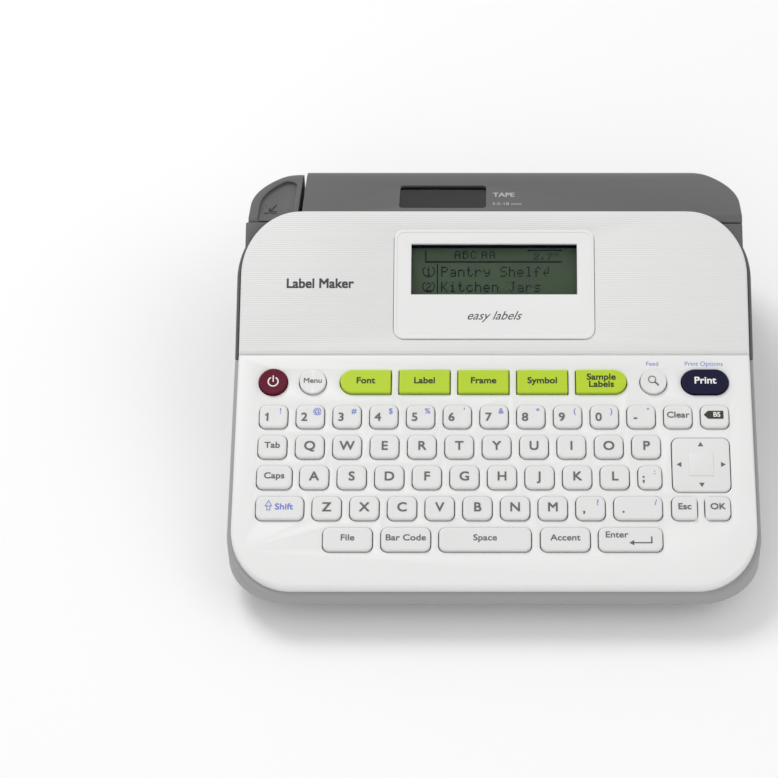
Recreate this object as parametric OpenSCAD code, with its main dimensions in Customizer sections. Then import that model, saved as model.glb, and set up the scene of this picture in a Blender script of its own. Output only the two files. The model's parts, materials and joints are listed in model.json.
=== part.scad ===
// Desktop label maker: a wedge-shaped case with a full keyboard, a display,
// a rear door over the tape cassette and the batteries, and a corner lever
// that cuts the printed tape. X is to the right, Y to the rear and Z up.
// The origin is on the desk, under the middle of the case.

/* [Case] */
// Width of the case
case_w = 188; // [186:1:192]
// Depth of the case
case_d = 178; // [176:1:180]
// Corner radius of the case, seen from above
corner_r = 22; // [20:1:24]
// Wall thickness of the case
wall = 2.2; // [2:0.1:2.4]
// Height of the chamfer under the case, above the feet
undercut_h = 10; // [9:1:10]
// How far the underside is set in from the case's outline
undercut = 11; // [9:1:12]
// Height of the rubber feet
foot_h = 2; // [1.5:0.5:2.5]

/* [Top panels] */
// Height of the keyboard panel's front edge
front_z = 20; // [19:0.5:21]
// Slope of the keyboard panel
key_slope = 17.5; // [17:0.5:18]
// Length of the keyboard panel along its slope
key_len = 90; // [89:0.5:91]
// Slope of the display panel
display_slope = 27; // [26:0.5:28]
// Length of the display panel along its slope
display_len = 55; // [54:0.5:56]
// Thickness of both panels
panel_t = 3; // [2.6:0.1:3.2]
// Ledge of the case that shows round the panels
panel_inset = 1.5; // [1.2:0.1:2]

/* [Keys] */
// Distance between key rows along the slope
row_pitch = 11.8; // [11.6:0.1:12]
// Height of a key hole along the slope
key_h = 9.4; // [9:0.1:9.6]
// Corner radius of a key hole
key_r = 2.5; // [2:0.1:3]
// Gap between a key and its hole
key_gap = 0.35; // [0.3:0.05:0.4]
// How far a key stands out of the panel
key_rise = 1.2; // [1:0.1:1.4]
// Travel of a key
key_travel = 1; // [0.8:0.1:1]

/* [Printing] */
// Width of the label tape
tape_w = 12; // [9:3:12]
// Radius of the platen roller
platen_r = 5; // [4.8:0.1:5]

/* [Hidden] */
$fn = 48;
slack = 0.01;

// Height of the tape's path above the desk, and the gears' module
tape_z = 19;
gear_m = 0.8;

// Side view of the top surface, as [y, z]
front_y = -case_d/2 + panel_inset;
crease = [front_y + key_len*cos(key_slope), front_z + key_len*sin(key_slope)];
ridge = crease + display_len*[cos(display_slope), sin(display_slope)];
seam = 0.15;
panel_drop = panel_t/cos(key_slope);
body_drop = 2.6;
rim_z = foot_h + undercut_h - 0.2;
side_rim_z = 13.7;

// Rear body: a falling top, then a round edge; above the sill it is narrower
// than the case and has rounder corners
fall = 18;
back_r = 13;
rear_inset = 2.6;
rear_r = 32;
lever_sill = 33.5;
back_y = case_d/2;
fall_len = (back_y - back_r - ridge[0] + back_r*sin(fall))/cos(fall);
back_c = [back_y - back_r,
    ridge[1] - body_drop - fall_len*sin(fall) - back_r*cos(fall)];

// Split between the cutter lever and the back cover, and where both start
lever_x = -72.5;
cover_x = -71.1;
side_y = 45;

// Back cover hinge and cutter lever hinge, as [y, z]
cover_axis = [86.5, 14.6];
lever_axis = [47, 44];
lever_skirt_z = 41;
lever_inset = 0.8;
lever_t = 2.4;
rest_depth = 1.4;

// Key rows: distance of each row's centre from the panel's front edge
row_s = [for (i = [0:4]) 17.4 + i*row_pitch];
function_s = 78.4;
function_h = 9.7;
space_row = [[-51.35, 17.9], [-30.95, 17.9], [-3.15, 32.9], [24.95, 17.9], [47.8, 23]];
lower_row = concat([[-75.5, 17.4]], [for (i = [0:7]) [-58.95 + i*13.27, 10.8]],
    [[50.7, 17.6], [67.05, 9.5], [78.75, 9.5]]);
home_row = concat([[-77.8, 13]], [for (i = [0:8]) [-63.7 + i*13.3, 10.8]], [[55.15, 8.9]]);
upper_row = [for (i = [0:10]) [-78.9 + i*13.3, 10.7]];
number_row = [for (i = [0:12]) [(i - 6)*13.15, 10.6]];
nav_c = [73.45, 45.95];
nav_size = [21.1, 21.4];
nav_r = 2.8;
// Function keys: centre, width, and end shape
round_keys = [["power", -79.5, 10.7], ["menu", -65.25, 10.1], ["preview", 57.35, 10.1]];
function_pitch = 21.2;
function_x = [for (i = [0:4]) -46.25 + i*function_pitch];
function_w = 18.8;
print_x = 75.9;
print_w = 17.4;

// Levels under the keyboard panel's surface
flange_z = -4.2;
flange_t = 0.9;
flange_w = 0.7;
sheet_t = 1;
sheet_z = flange_z - key_travel - 0.2 - sheet_t;
dome_h = 0.8;
board_z = -8.9;
board_t = 1.6;

// Display: bezel and window sizes, and the window's centre along the slope
bezel = [73, 41.8];
bezel_s = 26.4;
bezel_r = 4;
bezel_rise = 0.5;
bezel_depth = 1.4;
window = [60.6, 19.5];
window_s = 32.15;

// Places where screws hold the case together, and the feet, as [x, y]
front_screws = [[-74, -70], [74, -70]];
middle_screws = [[-79, 6], [79, 6]];
feet = [for (x = [-66, 66], y = [-60, 60]) [x, y]];

// Cassette and its rolls, in the X-Z plane
cassette = [-64, 16, 76, 41.6];
cassette_y = [54.5, 74.5];
cassette_wall = 1.5;
tape_y = (cassette_y[0] + cassette_y[1] - tape_w)/2;
notch = [-59.5, -43.5, 34];
roll_c = [-22, 38];
roll_r = 15;
roll_hub_r = 7.5;
supply_c = [1.5, 47.8];
supply_r = 8;
takeup_c = [1.5, 28];
takeup_r = 6;
spindle_r = 3;

// Frame of the printing mechanism
frame_y = [49.5, 51.5];
frame_floor = [4.4, 6.2];
frame_top = 59.5;
platform_z = [9.4, 11.2];

// Printing parts, in the X-Z plane
head_x = -51.5;
platen_c = [head_x, tape_z - 0.15 - platen_r];
arm_c = [-30, 11];
pin_r = 1.5;
run = 0.05;

// Gears: teeth and centres
platen_teeth = 18;
drive_teeth = 36;
pinion_teeth = 12;
transfer_teeth = 24;
ribbon_teeth = 20;
gear_y = [43.5, 47.9];
drive_c = platen_c + mesh(platen_teeth, drive_teeth)*[cos(65), sin(65)];
pinion_c = drive_c + [mesh(drive_teeth, pinion_teeth), 0];
transfer_c = meet(pinion_c, mesh(pinion_teeth, transfer_teeth),
    takeup_c, mesh(transfer_teeth, ribbon_teeth));

// Cutter: guide rods, blade and carriage
rod_x = -82.5;
rod_y = [55.5, 73.5];
rod_r = 1.25;
carriage_z = [26, 32];
blade_x = [-80.6, -80];
foot_c = [64.5, carriage_z[1] + 2.15];

// Batteries: centres of the six cells in the Y-Z plane
cell_r = 7.1;
cell_y = [60, 74.6];
cell_z = [14.5, 29.5, 44.5];
cell_x = [22, 72.5];

// Colours of the finishes
white = [0.93, 0.93, 0.92];
light_grey = [0.68, 0.69, 0.70];
dark_grey = [0.36, 0.37, 0.38];
charcoal = [0.16, 0.16, 0.17];
green = [0.70, 0.84, 0.15];
wine = [0.42, 0.06, 0.16];
navy = [0.07, 0.08, 0.22];
steel = [0.72, 0.73, 0.75];
nylon = [0.90, 0.88, 0.80];

// ---- Helpers ----------------------------------------------------------

function mesh(a, b) = gear_m*(a + b)/2;

// Upper meeting point of two circles
function meet(p, rp, q, rq) =
    let (d = norm(q - p), u = (q - p)/d, a = (rp*rp - rq*rq + d*d)/(2*d),
        h = sqrt(rp*rp - a*a))
    p + a*u + h*[-u[1], u[0]];

function arc(c, r, from, to, n) =
    [for (i = [0:n]) let (a = from + (to - from)*i/n) c + r*[cos(a), sin(a)]];

function angle_of(v) = atan2(v[1], v[0]);

// Turn of a gear so that it meshes with one already placed
function in_mesh(turn, teeth, from, other_teeth, to) =
    let (a = angle_of(to - from))
    a + 180 - (turn - a)*teeth/other_teeth - 180/other_teeth;

module rounded(w, d, r) {
    square([w - 2*r, d], center = true);
    square([w, d - 2*r], center = true);
    for (x = [-1, 1], y = [-1, 1])
        translate([x*(w/2 - r), y*(d/2 - r)]) circle(r);
}

// A shape drawn as (y, z), made w wide about the middle of the case
module across(w) rotate([90, 0, 90]) linear_extrude(w, center = true) children();

// A shape drawn as (y, z), from x0 to x1
module between_x(x0, x1)
    translate([x0, 0, 0]) rotate([90, 0, 90]) linear_extrude(x1 - x0) children();

// A shape drawn as (x, z), from y0 to y1
module between_y(y0, y1)
    translate([0, y1, 0]) rotate([90, 0, 0]) linear_extrude(y1 - y0) children();

module rod_x(x0, x1, c, r)
    translate([x0, c[0], c[1]]) rotate([0, 90, 0]) cylinder(r = r, h = x1 - x0);

module rod_y(y0, y1, c, r)
    translate([c[0], y0, c[1]]) rotate([-90, 0, 0]) cylinder(r = r, h = y1 - y0);

module block(x, y, z)
    translate([x[0], y[0], z[0]]) cube([x[1] - x[0], y[1] - y[0], z[1] - z[0]]);

module on_keyboard(z = 0)
    translate([0, front_y, front_z]) rotate([key_slope, 0, 0])
        translate([0, 0, z]) children();

module on_display(z = 0)
    translate([0, crease[0], crease[1]]) rotate([display_slope, 0, 0])
        translate([0, 0, z]) children();

// ---- Outlines ---------------------------------------------------------

module case_outline(inset = 0)
    rounded(case_w - 2*inset, case_d - 2*inset, corner_r - inset);

// Plan of the rear body above the sill: it follows the panels, then the rounder rear
module upper_outline(inset = 0) {
    translate([0, (front_y + ridge[0])/2]) rounded(case_w - 2*inset,
        ridge[0] - front_y + 2*panel_inset - 2*inset, corner_r + 1 - inset);
    rounded(case_w - 2*rear_inset - 2*inset, case_d - 2*inset, rear_r - inset);
}

module panel_outline(inset = 0)
    translate([0, (front_y + ridge[0])/2])
        rounded(case_w - 2*panel_inset - 2*inset, ridge[0] - front_y - 2*inset,
            corner_r - 0.5 - inset);

// Side view of everything behind the crease, set in by an amount
function body_profile(inset, low) =
    let (drop = body_drop + inset/cos(display_slope))
    concat([[crease[0] + seam, low], [crease[0] + seam, crease[1] - drop],
        [ridge[0], ridge[1] - drop]],
        arc(back_c, back_r - inset, 90 - fall, 0, 14),
        [[back_y - inset, low]]);

module body_solid(inset = 0, low = rim_z) intersection() {
    union() {
        linear_extrude(lever_sill - inset) case_outline(inset);
        linear_extrude(100) upper_outline(inset);
    }
    across(case_w) polygon(body_profile(inset, low));
}

module pan(bottom_inset, bottom_z, top_inset, top_z, high) hull() {
    translate([0, 0, bottom_z]) linear_extrude(slack)
        rounded(case_w - 2*bottom_inset, case_d - 2*bottom_inset, 12, $fn = 64);
    translate([0, 0, top_z]) linear_extrude(high - top_z)
        rounded(case_w - 2*top_inset, case_d - 2*top_inset, corner_r - top_inset, $fn = 64);
}

// ---- Case -------------------------------------------------------------

module screw_post(at, top, r = 4.2) translate([at[0], at[1], foot_h])
    cylinder(r = r, h = top - foot_h);

function panel_z(y) = front_z + (y - front_y)*tan(key_slope) - panel_drop;

function display_z(y) = crease[1] + (y - crease[0])*tan(display_slope) - panel_drop;

front_post_top = 10;
middle_post_top = 30;
foot_post_top = foot_h + 5;
foot_post_r = 5;

// Low inner lip that closes the slit under the back cover
module cover_lip() intersection() {
    linear_extrude(16.5) difference() {
        case_outline(5.4);
        case_outline(6.8);
    }
    block([cover_x, case_w], [side_y, case_d], [8, 17]);
}

module base_housing() color(light_grey) difference() {
    union() {
        difference() {
            pan(undercut, foot_h, 0, foot_h + undercut_h, 60);
            pan(undercut + 0.6, foot_h + wall, wall, foot_h + undercut_h + 1, 61);
        }
        intersection() {
            union() {
                for (p = front_screws) screw_post(p, front_post_top);
                for (p = middle_screws) screw_post(p, middle_post_top);
                for (p = feet) screw_post(p, foot_post_top, foot_post_r);
            }
            pan(undercut, foot_h, 0, foot_h + undercut_h, 60);
        }
        for (x = hinge_lugs) base_lug(x);
        cover_lip();
    }
    // Sloping top edge, then the low rim behind the crease
    across(case_w + 2) polygon([[-case_d, panel_z(-case_d)],
        [crease[0], panel_z(crease[0])], [crease[0], middle_post_top],
        [case_d, middle_post_top], [case_d, 90], [-case_d, 90]]);
    difference() {
        block([-case_w, case_w], [crease[0], case_d], [rim_z, 31]);
        block([cover_x, case_w], [side_y, 80], [0, side_rim_z]);
        translate([0, 0, -1]) cover_lip();
        translate([0, 0, 1]) cover_lip();
        for (x = hinge_lugs) base_lug(x);
        for (p = middle_screws) screw_post(p, middle_post_top);
    }
    for (p = concat(front_screws, middle_screws)) translate([p[0], p[1], 0]) {
        cylinder(r = 1.7, h = 50);
        cylinder(r = 3.4, h = 6);
    }
    for (p = feet) translate([p[0], p[1], 0]) cylinder(r = 2.05, h = foot_h + 3);
}

// Hinge stations of the back cover: a lug of the base beside one of the cover
hinge_lugs = [-52, 58];
lug_w = 6;
lug_r = 2.4;
lug_gap = 0.3;

module base_lug(x) between_x(x, x + lug_w) difference() {
    union() {
        translate(cover_axis) circle(lug_r);
        translate([cover_axis[0] - lug_r, rim_z - 2]) square([2*lug_r - 0.4, cover_axis[1] - rim_z + 2]);
    }
    translate(cover_axis) circle(1.2);
}

// Cross wall that joins the two cheeks under the display
bulkhead_y = [40, 42];

module bulkhead() {
    block([-90.5, 90.5], bulkhead_y, [54, 58.5]);
    for (x = [-90.5, 42.5]) block([x, x + 48], bulkhead_y, [54, 64.4]);
}

// Inner wall behind the skirt of the cutter lever, low where the lever's side comes down
// Room in which the cutter's carriage moves
module cutter_room() block([-86.2, -79], [52, 77.2], [0, 90]);

module lever_guard() intersection() {
    body_solid(1, 0);
    difference() {
        union() {
            intersection() {
                linear_extrude(lever_skirt_z + 0.4) upper_outline(4.8);
                block([-case_w, lever_x - 2.7], [0, case_d], [0, 90]);
            }
            linear_extrude(lever_sill) case_outline(1);
        }
        translate([0, 0, -1]) linear_extrude(90) upper_outline(6);
        cutter_room();
    }
    block([-case_w, cover_x - 0.7], [53, case_d], [lever_sill - 1.5, 90]);
}

module rear_housing() color(dark_grey) difference() {
    union() {
        difference() {
            body_solid();
            body_solid(wall, 0);
            block([-case_w, cover_x], [side_y, case_d], [lever_sill, 90]);
            cutter_room();
            translate([0, 0, 20]) linear_extrude(100) panel_outline(2.2);
        }
        bulkhead();
        lever_guard();
    }
    // Seat and opening of the display panel
    intersection() {
        translate([0, 0, 1]) linear_extrude(100) panel_outline(-0.3);
        across(case_w + 2) polygon([[crease[0] - 5, display_z(crease[0] - 5)],
            [back_y, display_z(back_y)], [back_y, 120], [crease[0] - 5, 120]]);
    }
    // Room for the back cover
    block([cover_x - 0.7, case_w], [side_y - 0.5, case_d], [0, 90]);
    // Tape exit and plug hole
    block([-case_w, -80], [56, 73], [tape_z - 2.5, tape_z + 2.5]);
    rod_x(80, case_w, [25, 24], 4.5);
    // Clearance round the screw posts
    for (p = middle_screws) translate([p[0], p[1], 0]) cylinder(r = 4.5, h = 32);
}

module panel_band(y0, y1, line) intersection() {
    linear_extrude(100) panel_outline();
    across(case_w) polygon([[y0, line(y0)], [y1, line(y1)],
        [y1, line(y1) + panel_drop], [y0, line(y0) + panel_drop]]);
}

module panel_post(at, line, low) difference() {
    intersection() {
        translate([at[0], at[1], low]) cylinder(r = 3.6, h = 60);
        across(case_w) polygon([[at[1] - 5, 0], [at[1] + 5, 0],
            [at[1] + 5, line(at[1] + 5) + slack], [at[1] - 5, line(at[1] - 5) + slack]]);
    }
    translate([at[0], at[1], low - 1]) cylinder(r = 1.4, h = 8);
}

module keyboard_panel() color(white) {
    difference() {
        panel_band(front_y - 1, crease[0] - seam, function (y) panel_z(y));
        on_keyboard(-8) linear_extrude(16) all_keys();
    }
    for (p = front_screws) panel_post(p, function (y) panel_z(y), front_post_top + 0.1);
}

module display_panel() color(white) {
    difference() {
        panel_band(crease[0] + seam, ridge[0] + 1, function (y) display_z(y));
        on_display(-bezel_depth) linear_extrude(10) translate([0, bezel_s])
            rounded(bezel[0] + 0.4, bezel[1] + 0.4, bezel_r + 0.2);
        on_display(-10) linear_extrude(20) translate([0, window_s])
            square(window + [5, 5], center = true);
    }
    for (p = middle_screws) panel_post(p, function (y) display_z(y), middle_post_top + 0.1);
}

module display_bezel() color(white) on_display(-bezel_depth) difference() {
    linear_extrude(bezel_depth + bezel_rise) translate([0, bezel_s])
        rounded(bezel[0], bezel[1], bezel_r);
    translate([0, window_s, -1]) linear_extrude(10) square(window, center = true);
}

module display_window() color([0.8, 0.85, 0.8, 0.4]) on_display(-bezel_depth - 1)
    linear_extrude(1) translate([0, window_s]) square(window + [4.4, 4.4], center = true);

module lcd_glass() color([0.35, 0.44, 0.33]) on_display(-6.6) linear_extrude(2.4)
    translate([0, window_s]) square([68, 30], center = true);

module lcd_holder() color(white) on_display(-8.2) difference() {
    linear_extrude(4.4) translate([0, window_s - 1]) rounded(76, 34, 2);
    translate([0, window_s, 1.4]) linear_extrude(4) square([68.4, 30.4], center = true);
    translate([0, window_s, -1]) linear_extrude(4) square([54, 18], center = true);
}

module display_cable() color([0.75, 0.55, 0.25]) between_x(-9, 9) polygon([
    [23.6, 52.3], [24, 52.5], [24, 38], [22.8, 32], [22.8, 14.05], [22.4, 14.05],
    [22.4, 32], [23.6, 38]]);

module key_sheet() color([0.85, 0.85, 0.84]) on_keyboard() difference() {
    union() {
        translate([0, 0, sheet_z]) linear_extrude(sheet_t) board_outline();
        for (k = all_key_centres()) translate([k[0], k[1], sheet_z - dome_h])
            cylinder(r = 2.2, h = dome_h + slack);
    }
    translate([nav_c[0], nav_c[1], sheet_z - 2]) cylinder(r = 4, h = 8);
}

module board_outline() {
    translate([-86, 22.8]) square([172, 63.4]);
    translate([-62.5, 10.5]) square([123.5, 12.4]);
}

module key_board() color([0.10, 0.36, 0.20]) on_keyboard(board_z) {
    linear_extrude(board_t) board_outline();
    for (x = [-40, 0, 40]) translate([x - 6, 70, -2]) cube([12, 5, 2]);
}

module main_board() color([0.10, 0.36, 0.20]) {
    block([-62, 62], [-50, 30], [8, 9.6]);
    for (x = [-62, 56], y = [-50, 24]) block([x, x + 6], [y, y + 6], [foot_h + wall, 8]);
    // Processor, memory, motor driver, capacitors and connectors
    block([-12, 6], [-20, -2], [9.6, 11.4]);
    block([16, 28], [-18, -8], [9.6, 11]);
    block([-44, -34], [0, 8], [9.6, 11.2]);
    for (y = [-34, -22]) translate([40, y, 9.6]) cylinder(r = 4, h = 8);
    block([-10, 10], [20.6, 24.6], [9.6, 14]);
    block([-50, -38], [22, 28], [9.6, 15]);
}

module case_screws() color(steel)
    for (p = concat(front_screws, middle_screws)) translate([p[0], p[1], 0]) difference() {
        union() {
            translate([0, 0, 3.6]) cylinder(r = 3, h = 2.4);
            translate([0, 0, 6]) cylinder(r = 1.35,
                h = (p[1] < 0 ? front_post_top : middle_post_top) - 6 + 6);
        }
        translate([0, 0, 3]) for (a = [0, 90]) rotate(a)
            translate([-2, -0.4, 0]) cube([4, 0.8, 1.8]);
    }

module rubber_feet() color(charcoal)
    for (p = feet) translate([p[0], p[1], 0]) {
        cylinder(r = 6, h = foot_h);
        cylinder(r = 2, h = foot_h + 2.6);
    }

module dc_jack() color(charcoal) difference() {
    block([78, case_w/2 - wall], [20, 30], [19, 30]);
    rod_x(81, case_w, [25, 24], 2.9);
}

// ---- Keys -------------------------------------------------------------

// One end or both of a function key are round
module function_shape(kind, w, h) {
    if (kind == "disc") circle(w/2);
    if (kind == "both") {
        square([w - h, h], center = true);
        for (x = [-1, 1]) translate([x*(w - h)/2, 0]) circle(h/2);
    }
    if (kind == "left") {
        translate([h/4, 0]) square([w - h/2, h], center = true);
        translate([h/2 - w/2, 0]) circle(h/2);
    }
    if (kind == "right") mirror([1, 0]) function_shape("left", w, h);
    if (kind == "square") square([w, h], center = true);
}

// Every function key as [x, width, height, shape]
function_keys = [
    [round_keys[0][1], round_keys[0][2], round_keys[0][2], "disc"],
    [round_keys[1][1], round_keys[1][2], round_keys[1][2], "disc"],
    [function_x[0], function_w, function_h, "left"],
    [function_x[1], function_w, function_h, "square"],
    [function_x[2], function_w, function_h, "square"],
    [function_x[3], function_w, function_h, "square"],
    [function_x[4], function_w, function_h, "right"],
    [round_keys[2][1], round_keys[2][2], round_keys[2][2], "disc"],
    [print_x, print_w, 10.2, "both"]];

module key_row_shapes(row, s, grow) for (k = row) translate([k[0], s])
    rounded(k[1] + 2*grow, key_h + 2*grow, max(key_r + grow, 0.5));

module function_key_shape(k, grow) translate([k[0], function_s])
    function_shape(k[3], k[1] + 2*grow, k[2] + 2*grow);

module nav_shape(grow) translate(nav_c)
    rounded(nav_size[0] + 2*grow, nav_size[1] + 2*grow, nav_r + grow);

module all_keys() {
    for (k = function_keys) function_key_shape(k, 0);
    for (i = [0:4]) key_row_shapes(key_rows[i], row_s[i], 0);
    nav_shape(0);
}

key_rows = [space_row, lower_row, home_row, upper_row, number_row];

function all_key_centres() = concat(
    [for (k = function_keys) [k[0], function_s]],
    [for (i = [0:4]) for (k = key_rows[i]) [k[0], row_s[i]]]);

// A key stands on a flange that can't pass through its hole
module key_body() on_keyboard(flange_z) {
    linear_extrude(key_rise - flange_z) children(0);
    linear_extrude(flange_t) children(1);
}

module function_key(i, tint) color(tint) key_body() {
    function_key_shape(function_keys[i], -key_gap);
    function_key_shape(function_keys[i], flange_w - key_gap);
}

module row_keys(i) color(white) for (k = key_rows[i]) key_body() {
    key_row_shapes([k], row_s[i], -key_gap);
    key_row_shapes([k], row_s[i], flange_w - key_gap);
}

nav_flange_z = -4.5;
nav_flange_t = 0.7;

module nav_pad() color(white) on_keyboard(nav_flange_z) {
    linear_extrude(key_rise - 0.2 - nav_flange_z) nav_shape(-key_gap);
    linear_extrude(nav_flange_t) nav_shape(flange_w - key_gap);
}

module nav_stem() color(white) on_keyboard(board_z + board_t + 0.3)
    translate([nav_c[0], nav_c[1], 0]) cylinder(r = 2.5, h = 2.3);

// ---- Back cover -------------------------------------------------------

cover_low = 14;
window_x = [-35.2, -3];
window_y = [53.4, 72];
window_r = 1.6;

module cover_region() difference() {
    block([cover_x, case_w], [side_y, case_d], [cover_low, 90]);
    translate([0, 0, 1]) linear_extrude(100) panel_outline(-0.5);
}

module back_cover() color(dark_grey) {
    difference() {
        intersection() {
            union() {
                difference() {
                    body_solid(0, cover_low);
                    body_solid(wall, 0);
                }
                intersection() {
                    body_solid(0, cover_low);
                    block([cover_x, cover_x + 2], [side_y, case_d], [60, 90]);
                }
            }
            cover_region();
        }
        window_region();
        for (x = hinge_lugs) {
            block([x - 1, x + lug_w + lug_gap], [80, case_d],
                [0, cover_axis[1] + lug_r + 0.4]);
            rod_x(x, x + 2*lug_w + 1.5, cover_axis, 1.2 + run);
        }
    }
    for (x = hinge_lugs) cover_lug(x + lug_w + lug_gap);
    // Rails that hold the smoked window
    for (x = [window_x[0] - 1.5, window_x[1]]) intersection() {
        difference() {
            body_solid(wall, 0);
            body_solid(wall + 1, 0);
        }
        block([x, x + 1.5], window_y, [50, 90]);
    }
}

module cover_lug(x) between_x(x, x + lug_w) difference() {
    union() {
        translate(cover_axis) circle(lug_r);
        translate(cover_axis - [lug_r, 0]) square([2*lug_r + 0.1, 3]);
    }
    translate(cover_axis) circle(1.2 + run);
}

module window_region()
    translate([(window_x[0] + window_x[1])/2, (window_y[0] + window_y[1])/2, 55]) linear_extrude(35)
        rounded(window_x[1] - window_x[0], window_y[1] - window_y[0], window_r);

module cover_window() color([0.12, 0.12, 0.13, 0.6]) intersection() {
    difference() {
        body_solid(1, 0);
        body_solid(wall, 0);
    }
    window_region();
}

module hinge_pins() color(steel) {
    for (x = hinge_lugs) rod_x(x - 0.5, x + 2*lug_w + lug_gap + 0.5, cover_axis, 1.2);
    rod_x(-88.2, -70, lever_axis, pin_r);
    rod_y(frame_y[0], 77.6, arm_c, pin_r);
}

// ---- Frame of the mechanism -------------------------------------------

module frame_ear(x) between_x(x, x + 2) difference() {
    union() {
        translate([lever_axis[0] - 3.5, 34]) square([frame_y[1] - lever_axis[0] + 3.5, lever_axis[1] - 34]);
        translate(lever_axis) circle(3.5);
    }
    translate(lever_axis) circle(pin_r);
}

module mech_frame() color(charcoal) difference() {
    union() {
        // Front wall with its gear posts
        block([-71.5, 81.5], frame_y, [frame_floor[0], frame_top]);
        block([-86, -70], frame_y, [9.6, 36]);
        block([-89, -70], frame_y, [13, 36]);
        for (c = [drive_c, transfer_c]) rod_y(42.8, frame_y[1], c, pin_r);
        for (x = [-88.2, -72]) frame_ear(x);
        // Floor, platform of the cutter, and the walls of the two bays
        block([-70, 78], [frame_y[0], 73], frame_floor);
        block([-84.5, -68], [frame_y[0], 75.8], platform_z);
        block([-70, -68], [frame_y[1], 75.8], [frame_floor[0], 56]);
        block([15, 17], [frame_y[1], 76], [frame_floor[0], 56]);
        block([77, 79], [frame_y[1], 72], [frame_floor[0], 56]);
    }
    // Slot for the tape, and room for the platen and its shaft
    block([-72, -66], [56, 73], [tape_z - 2.5, tape_z + 2.5]);
    block([-60, -32], [52, 77.5], [0, 8]);
    for (p = feet) translate([p[0], p[1], 0]) cylinder(r = foot_post_r + 0.4, h = foot_post_top + 0.4);
    rod_y(40, 60, platen_c, 3.8);
    rod_y(40, 60, takeup_c, spindle_r + run);
    rod_y(40, 60, arm_c, pin_r);
    for (y = rod_y) translate([rod_x, y, 0]) cylinder(r = rod_r, h = 20);
}

// ---- Cutter -----------------------------------------------------------

module lever_rib(x) between_x(x, x + 2.4) difference() {
    union() {
        polygon([[lever_axis[0] - 3.6, lever_axis[1]], [lever_axis[0] + 3.6, lever_axis[1]],
            [57, 62], [57, 65], [52, 65.4]]);
        translate(lever_axis) circle(3.6);
    }
    translate(lever_axis) circle(pin_r + run);
}

module lever_shell() difference() {
    intersection() {
        body_solid(lever_inset);
        block([-case_w, lever_x], [side_y + 0.6, case_d], [lever_skirt_z, 90]);
    }
    intersection() {
        body_solid(lever_inset + lever_t, 0);
        block([-case_w, lever_x - 2], [0, case_d], [0, 90]);
    }
    translate([0, 0, 1]) linear_extrude(100) panel_outline(-0.6);
    rod_x(-88.3, -70, lever_axis, pin_r + 0.25);
    // Finger rest
    difference() {
        translate([0, 0, 50]) linear_extrude(40) intersection() {
            translate([-82, 61.5]) rounded(15, 31, 3.5);
            upper_outline(lever_inset + 3.4);
        }
        body_solid(lever_inset + rest_depth, 0);
    }
}

module cutter_lever() color(dark_grey) {
    lever_shell();
    for (x = [-86, -76]) lever_rib(x);
    // Foot that pushes the carriage down
    intersection() {
        union() {
            block([-84.5, -80.8], [foot_c[0] - 2, foot_c[0] + 2], [foot_c[1], 74]);
            rod_x(-84.5, -80.8, foot_c, 2);
        }
        body_solid(2.4, 0);
    }
}

module cutter_carriage() color(charcoal) difference() {
    block([-85.2, blade_x[0]], [52.6, 76.4], carriage_z);
    for (y = rod_y) translate([rod_x, y, 0]) cylinder(r = rod_r + run, h = 60);
}

module cutter_blade() color(steel) difference() {
    block(blade_x, [57, 72], [tape_z + 0.7, 31]);
    translate([-90, 64.5, 28.5]) rotate([0, 90, 0]) cylinder(r = 1.2, h = 20);
}

module cutter_rods() color(steel)
    for (y = rod_y) translate([rod_x, y, platform_z[0]]) cylinder(r = rod_r, h = 23.9);

// A round wire coiled round each guide rod
spring_r = 2;
wire_r = 0.3;
spring_turns = 5;
spring_steps = 12;

function coil_point(t, wire) =
    let (low = platform_z[1] + wire_r + 0.05, high = carriage_z[0] - wire_r - 0.05,
        a = 360*t*spring_turns, r = spring_r + wire_r*cos(wire))
    [r*cos(a), r*sin(a), low + (high - low)*t + wire_r*sin(wire)];

module coil() {
    sides = 6;
    rings = spring_turns*spring_steps;
    points = [for (i = [0:rings]) for (j = [0:sides - 1]) coil_point(i/rings, -360*j/sides)];
    walls = [for (i = [0:rings - 1]) for (j = [0:sides - 1]) let (k = (j + 1) % sides)
        each [[i*sides + j, i*sides + k, (i + 1)*sides + k],
            [i*sides + j, (i + 1)*sides + k, (i + 1)*sides + j]]];
    polyhedron(points, concat(walls, [for (j = [1:sides - 2]) [0, j + 1, j]],
        [for (j = [1:sides - 2]) [for (v = [0, j, j + 1]) rings*sides + v]]));
}

module cutter_springs() color(steel) for (y = rod_y) translate([rod_x, y, 0]) coil();

module cutter_anvil() color(steel)
    block([-79.8, -77], [56, 73], [platform_z[1], tape_z - 0.6]);

// ---- Cassette ---------------------------------------------------------

module cassette_shell() color([0.30, 0.31, 0.33]) {
    difference() {
        between_y(cassette_y[0], cassette_y[1])
            translate([cassette[0] + cassette[2]/2, cassette[1] + cassette[3]/2])
            rounded(cassette[2], cassette[3], 2);
        difference() {
            block([cassette[0] + cassette_wall, cassette[0] + cassette[2] - cassette_wall],
                [cassette_y[0] + cassette_wall, cassette_y[1] - cassette_wall],
                [cassette[1] + cassette_wall, cassette[1] + cassette[3] - cassette_wall]);
            block([cassette[0], notch[1] + cassette_wall], cassette_y, [0, notch[2] + cassette_wall]);
        }
        // Notch for the print head, and the slots that the tape runs through
        block([notch[0], notch[1]], [40, 90], [0, notch[2]]);
        block([cassette[0] - 1, notch[1] + 3], [tape_y - 1, tape_y + tape_w + 1],
            [tape_z - 0.8, tape_z + 0.8]);
        rod_y(40, 90, takeup_c, 5);
    }
    rod_y(cassette_y[0] + 1, cassette_y[1] - 1, roll_c, roll_hub_r);
    rod_y(cassette_y[0] + 1, cassette_y[1] - 1, supply_c, spindle_r);
}

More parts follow.
